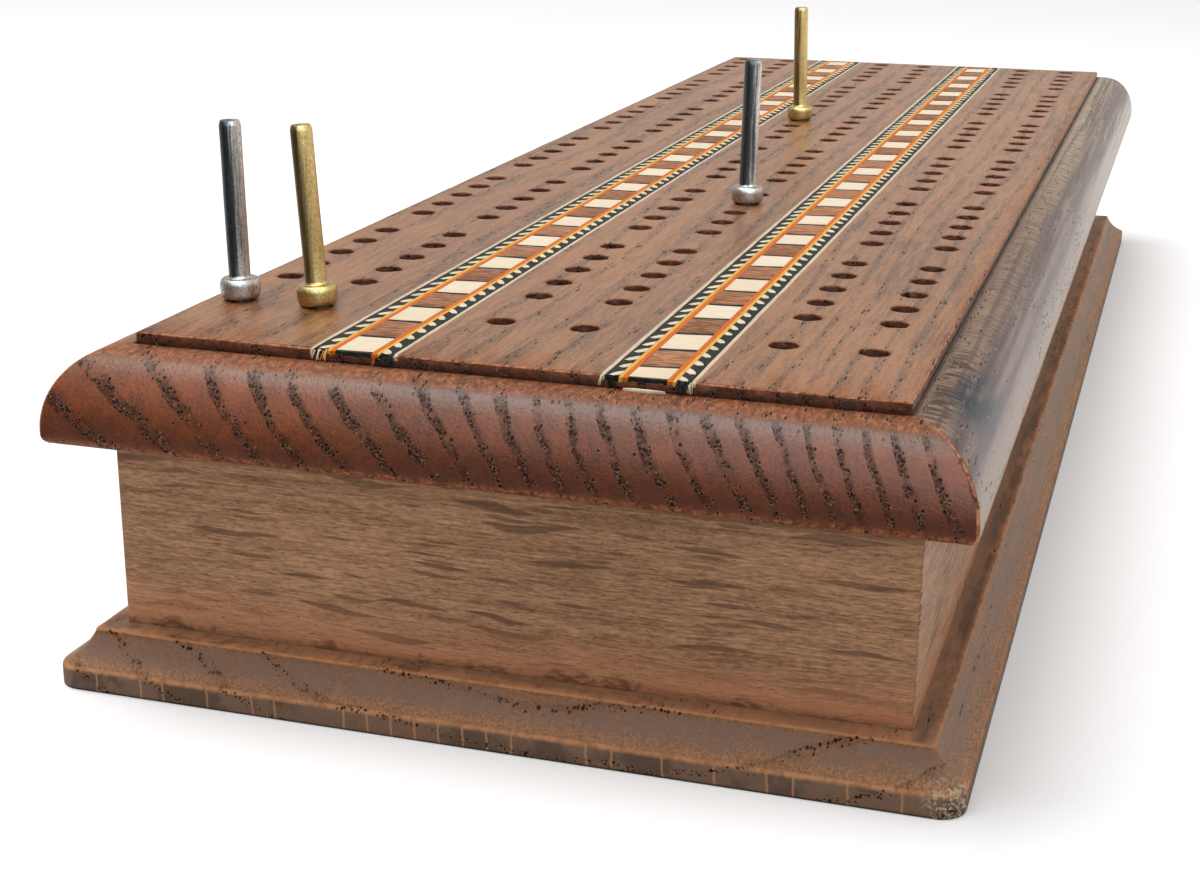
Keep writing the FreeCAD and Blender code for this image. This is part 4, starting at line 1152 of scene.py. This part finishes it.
def make_frayed_ends(inks):
    """Frayed ends: what the saw left of the veneers where the bands run out at the step."""
    draw = np.random.default_rng(7)
    near, top, foot = PANEL_END, BOARD_TOP, BOARD_TOP - 1.05
    # A clump: its band, how far it lies from the band's left side, how many fibres, how
    # far they spread, how thick they are and how far they reach out over the moulding.
    clumps = {
        "slip": [("left", 0.9, 6, 0.25, 0.12, 0.9), ("right", 0.1, 3, 0.1, 0.11, 0.5),
                 ("right", 8.3, 5, 0.2, 0.12, 0.5)],
        "bar": [("left", 7.8, 16, 0.3, 0.14, 0.8), ("right", 0.9, 8, 0.3, 0.12, 0.25),
                ("right", 7.8, 18, 0.35, 0.13, 0.9)],
        "yellow": [("left", 1.6, 5, 0.12, 0.12, 0.9)],
        "orange": [("left", 6.6, 4, 0.12, 0.13, 0.8)],
    }
    for ink, groups in clumps.items():
        fibres = []
        for band, offset, count, spread, thick, reach in groups:
            for _ in range(count):
                dx, ex = draw.normal(0, spread, 2)
                x = BAND_BOX[band][0][0] + offset + dx
                start = (x, near + draw.uniform(0.0, 0.15), top - draw.uniform(0.02, 0.3))
                end = (x + ex, near - reach * draw.uniform(0.4, 1.0),
                       foot + draw.uniform(0.02, 0.2))
                sag = (draw.normal(0, 0.06), -draw.uniform(0.0, 0.12), draw.uniform(0.0, 0.12))
                fibres.append((start, end, sag, thick * draw.uniform(0.5, 1.0)))
        sheets = strands(*zip(*fibres), draw.uniform(0, 1, len(fibres)))
        make_piece(f"frayed_{ink}_ends", sheets, inks[ink])
    sliver = [(2.3, -0.62), (3.2, -0.82), (4.6, -0.84), (6.2, -0.6), (4.6, -0.42), (3.2, -0.44)]
    sliver = np.array([sliver]) + (BAND_BOX["right"][0][0], near)
    sheets = blocks(sliver, foot + 0.16, foot - 0.08, [0.3])
    make_piece("loose_light_sliver", sheets, inks["light"])


def make_step_lips():
    """Step lips: oak left standing under the near ends of the bands, torn along its top."""
    draw = np.random.default_rng(11)
    teeth = []
    for band in BANDS:
        (x0, _, floor), (x1, _, _) = BAND_BOX[band]
        cuts = np.linspace(x0 - 0.1, x1 + 0.1, 22)
        left, right = cuts[:-1] - 0.02, cuts[1:] + 0.02
        front = PANEL_END - draw.uniform(0.09, 0.15, len(left))
        corners = [(left, front), (right, front), (right, PANEL_END + 0.15),
                   (left, PANEL_END + 0.15)]
        plan = np.stack([grid(x, y) for x, y in corners], axis=1)
        height = floor + draw.uniform(0.42, 0.62, len(left))
        teeth += blocks(plan, height, floor - 0.05, draw.uniform(0.35, 0.9, len(left)), 0.08, 0.05)
    make_piece("torn_step_lips", teeth, board_oak())


def band_inks():
    """The veneers of the banding."""
    tones = bpy.context.scene.crib_finishes
    across, lengthwise = (0.6, 6.0, 2.0), (7.0, 0.5, 2.0)
    dyed = {
        ink: veneer(f"{ink}_line_veneer", bright, [0.68 * part for part in bright], lengthwise)
        for ink, bright in (("yellow", tones.yellow), ("orange", tones.orange))
    }
    return dyed | {
        "light": veneer("light_block_veneer", tones.cream, linear(222, 196, 164), across, 0.6),
        "slip": veneer("light_slip_veneer", linear(232, 220, 190), linear(196, 182, 150), across),
        "edge": veneer(
            "edge_line_veneer", linear(214, 198, 172), linear(168, 146, 120), lengthwise),
        "brown": veneer(
            "brown_block_veneer", tones.brown, linear(104, 60, 38), across, 1.25, depth=0.06),
        "bar": veneer("black_veneer", tones.black, linear(56, 52, 46), (2.2, 2.2, 2.0), 0.6),
    }


def peg_profile():
    """A peg from its tip: shank, collar with a flat ledge, rod and rubbed top."""
    return joined(
        [(0.0, -6.0), (0.6, -6.0), (0.9, -5.75), (0.95, -5.6), (1.1, -0.05), (1.5, 0.02)],
        arc((1.5, 0.75), (0.53, 0.73), -80, 0, 7),
        [(2.05, 1.15), (2.05, 1.45)],
        arc((1.62, 1.5), (0.43, 0.68), 5, 80, 7),
        [(1.5, 2.19), (1.28, 2.17), (1.16, 2.24), (1.1, 2.5), (1.1, 6.0), (1.1, 10.0)],
        [(1.1, 14.0), (1.1, 17.55), (1.09, 17.6), (0.97, 18.02), (0.93, 18.07), (0.5, 18.1)],
        [(0.0, 18.1)],
    )


# Each peg: its body, the row and the place of its hole, and how far and which way it leans.
PEGS = (
    ("near_steel_peg", "steel_peg_near", 0, START_HOLE_Y, 0.9, 197.0),
    ("near_brass_peg", "brass_peg_near", 1, START_HOLE_Y, 3.4, 197.0),
    ("far_steel_peg", "steel_peg_far", 3, FIRST_HOLE_Y + GROUP_PITCH + 3 * HOLE_PITCH, 0.9, 17.0),
    ("far_brass_peg", "brass_peg_far", 2, FIRST_HOLE_Y + 3 * GROUP_PITCH + 3 * HOLE_PITCH, 1.4,
     197.0),
)


def make_pegs():
    """Pegs: a profile swept round, dented a little, and leaning as each stands in its hole.

    The side of a peg that faces left is painted dark, painted shade and reflection with tarnish: its
    mark is a cosine of the way round.
    """
    tones = bpy.context.scene.crib_finishes
    # A peg's metal, and how far its tarnish and painted shade darken it all round.
    metals = {
        "steel": (turned_metal(
            "peg_steel_shade_and_tarnish", tones.steel, linear(150, 134, 126), linear(36, 52, 60), 0.08,
        ), 0.42),
        "brass": (turned_metal(
            "peg_brass_shade_and_tarnish", tones.brass, linear(170, 138, 80), linear(92, 72, 40), 0.1,
        ), 0.1),
    }
    count = 40
    angle = np.arange(count) / count * 2 * np.pi
    radius, height = peg_profile().T[:, :, None]
    for seed, (body, node, row, y, lean, heading) in enumerate(PEGS):
        metal, tarnish = metals[node.split("_")[0]]
        points = grid(radius * np.cos(angle), radius * np.sin(angle), height)
        round_way = np.arctan2(points[..., 1], points[..., 0])
        # Painted shade and reflection on the side facing left, with tarnish.
        shade_and_tarnish = 0.5 * np.cos(round_way - math.radians(215.0)) + tarnish
        shade_and_tarnish = shade_and_tarnish * (height > 2.3) + 0.12
        points[..., :2] *= (1 + 0.02 * ripple(points, 2.2, 80 + seed) * (height > 0.3))[..., None]
        way = math.radians(heading)
        axis = Vector((-math.sin(way), math.cos(way), 0))
        tilt = np.array(Matrix.Rotation(math.radians(lean), 3, axis))
        points = points @ tilt.T + (ROWS_X[row], y, BOARD_TOP + 0.12)
        sheets = [Sheet(points, wear=shade_and_tarnish, wrap=True)]
        slot = f"peg_{node.split('_')[0]}"
        make_piece(f"turned_{node}", sheets, metal, [node], body, crease=50.0)


def dress(node, finish):
    """Gives a solid that keeps its own shape its finish."""
    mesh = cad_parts[node].data
    mesh.materials.clear()
    mesh.materials.append(finish)
    mesh.polygons.foreach_set("material_index", [0] * len(mesh.polygons))


# Stage

def make_floor():
    """Floor: one pale sheet under everything, lighter where only the camera looks at it; in
    reflections it is dark in front and glows towards the right, a painted reflection.
    """
    r = recipe_for("pale_studio_floor")
    camera, glossy = (r.add("LightPath", {}, f"Is {ray} Ray") for ray in ("Camera", "Glossy"))
    grain = r.noise(r.stretch(r.place(), (0.02, 0.02, 0.02)))
    colour = r.mix(grain, linear(246, 246, 247), linear(250, 250, 251))
    x, y, _ = r.split(r.place())
    # Painted reflection: black in reflections in front of the box.
    matte = r.mix(glossy * y.ease(-150.0, -100.0, 0.8, 0.0), colour, (0, 0, 0))
    # Lighter for the camera, and a glow in reflections towards the right.
    light = camera * 0.165 + glossy * x.ease(60.0, 200.0, 0.0, 0.9)
    glow = r.add("Emission", {"Color": (1, 1, 1, 1), "Strength": light})
    both = r.add("AddShader", {0: r.add("BsdfDiffuse", {"Color": matte}), 1: glow})
    r.node("OutputMaterial", {"Surface": both})
    reach = np.linspace(-3000, 3000, 9)
    points = grid(reach[:, None], reach, -0.01)
    mesh = bpy.data.meshes.new("studio_floor")
    mesh.from_pydata((points.reshape(-1, 3) * MM).tolist(), [], Sheet(points).faces().tolist())
    mesh.materials.append(r.owner)
    put("studio_floor", mesh)


def make_world(level):
    """A bright room: white above and behind, dimmer low down in front."""
    world = bpy.data.worlds.new("studio_room")
    bpy.context.scene.world = world
    r = Recipe(world)
    way = r.add("TexCoord", {}, "Generated")
    x, y, z = r.split(way)
    camera, glossy = (r.add("LightPath", {}, f"Is {ray} Ray") for ray in ("Camera", "Glossy"))
    lit = (z * 0.4 + (y * 0.26 + 0.52) + x * -0.06).ease(0.1, 0.95, 0.3, 1.0)
    # What shines back: the room, a brighter right side and one cool patch overhead.
    feeds = {0: way, 1: (0.25, -0.62, 0.744)}
    patch = r.add("VectorMath", feeds, "Value", operation="DOT_PRODUCT").ease(0.62, 0.88)
    shine = patch * 3.2 + lit * y.ease(-0.9, -0.1, 0.22, 0.72) + x.ease(0.0, 0.5) * 0.62
    strength = r.add("Mix", {0: glossy, 2: lit * level, 3: shine}).most(camera)
    warm = r.mix(glossy, (1, 1, 1), (1.0, 0.96, 0.88))
    colour = r.mix(glossy * patch, warm, (0.68, 0.9, 1.0))
    back = r.add("Background", {"Color": colour, "Strength": strength})
    r.node("OutputWorld", {"Surface": back})


def make_lamp(name, place, target, size, power):
    """A square soft lamp that faces a point."""
    light = bpy.data.lights.new(name, "AREA")
    light.shape, light.size, light.energy = "SQUARE", size, power
    lamp = put(name, light)
    lamp.location = place
    lamp.rotation_euler = (Vector(target) - Vector(place)).to_track_quat("-Z", "Y").to_euler()


def make_camera():
    """The camera: low, a little to the right, with the plain end nearest."""
    lens = bpy.data.cameras.new("studio_camera")
    lens.sensor_width = 36.0
    lens.lens = 57.947
    lens.clip_start, lens.clip_end = 0.01, 20.0
    camera = put("studio_camera", lens)
    camera.matrix_world = Matrix((
        (0.954447, -0.098051, 0.281809, 0.0581154),
        (0.298297, 0.291277, -0.908943, -0.2798218),
        (0.007039, 0.951600, 0.307257, 0.0812128),
        (0.0, 0.0, 0.0, 1.0),
    ))
    bpy.context.scene.camera = camera


# Operators, panel and the run

class CRIB_OT_board(bpy.types.Operator):
    """Mould, channel and drill the pegging board"""

    bl_idname = "crib.board"
    bl_label = "Pegging Board"

    def execute(self, context):
        make_board()
        return {"FINISHED"}


class CRIB_OT_base(bpy.types.Operator):
    """Cove the base board and rub its edges"""

    bl_idname = "crib.base"
    bl_label = "Base Board"

    def execute(self, context):
        make_base()
        return {"FINISHED"}


class CRIB_OT_walls(bpy.types.Operator):
    """Mitre the three walls of the case"""

    bl_idname = "crib.walls"
    bl_label = "Case Walls"

    def execute(self, context):
        make_walls()
        return {"FINISHED"}


class CRIB_OT_banding(bpy.types.Operator):
    """Lay the two bands of inlay"""

    bl_idname = "crib.banding"
    bl_label = "Inlay Banding"

    def execute(self, context):
        inks = band_inks()
        for seed, band in enumerate(BANDS):
            draw = np.random.default_rng(100 + seed)
            make_ladder(band, inks, draw)
            make_ropes(band, inks, draw)
            make_lines(band, inks)
        make_frayed_ends(inks)
        make_step_lips()
        return {"FINISHED"}


class CRIB_OT_pegs(bpy.types.Operator):
    """Turn the four pegs and stand them in their holes"""

    bl_idname = "crib.pegs"
    bl_label = "Pegs"

    def execute(self, context):
        make_pegs()
        return {"FINISHED"}


class CRIB_OT_drawer(bpy.types.Operator):
    """Finish the drawer and its knob"""

    bl_idname = "crib.drawer"
    bl_label = "Drawer"

    def execute(self, context):
        brass = context.scene.crib_finishes.brass
        pale = lining_oak()
        for node in ("left_side", "right_side", "back", "bottom", "divider"):
            dress(f"drawer_{node}", pale)
        dress("drawer_front", wall_oak("drawer_front_oak", "X", (150.0, -60.0)))
        dress("drawer_knob", turned_metal(
            "knob_brass", brass, linear(150, 118, 60), linear(90, 70, 40), 0.06,
        ))
        return {"FINISHED"}


class CRIB_OT_stage(bpy.types.Operator):
    """Set the floor, the light and the camera"""

    bl_idname = "crib.stage"
    bl_label = "Studio Stage"

    def execute(self, context):
        settings = context.scene.crib_stage
        make_floor()
        make_world(settings.dome)
        make_lamp("overhead_softbox", (-0.22, -0.08, 0.75), (0, -0.02, 0.02), 0.45, settings.lamp)
        make_camera()
        context.scene.view_settings.view_transform = "Standard"
        return {"FINISHED"}


class CRIB_PT_workshop(bpy.types.Panel):
    """Sizes, finishes and the steps that make the box"""

    bl_label = "Cribbage Box"
    bl_space_type = "VIEW_3D"
    bl_region_type = "UI"
    bl_category = "Cribbage Box"

    def draw(self, context):
        for name, kind in GROUPS.items():
            column = self.layout.column(align=True)
            for setting in kind.__annotations__:
                column.prop(getattr(context.scene, name), setting)
        for step in STEPS:
            self.layout.operator(step.bl_idname)


STEPS = (CRIB_OT_board, CRIB_OT_base, CRIB_OT_walls, CRIB_OT_banding, CRIB_OT_pegs,
         CRIB_OT_drawer, CRIB_OT_stage)
GROUPS = {
    "crib_sizes": CRIB_PG_sizes, "crib_finishes": CRIB_PG_finishes, "crib_stage": CRIB_PG_stage,
}
CLASSES = (*GROUPS.values(), *STEPS, CRIB_PT_workshop)


def register():
    for cls in CLASSES:
        bpy.utils.register_class(cls)
    for name, group in GROUPS.items():
        setattr(bpy.types.Scene, name, bpy.props.PointerProperty(type=group))


def unregister():
    for name in GROUPS:
        delattr(bpy.types.Scene, name)
    for cls in reversed(CLASSES):
        bpy.utils.unregister_class(cls)


def main():
    register()
    for step in STEPS:
        family, verb = step.bl_idname.split(".")
        getattr(getattr(bpy.ops, family), verb)()


if __name__ == "__main__":
    main()
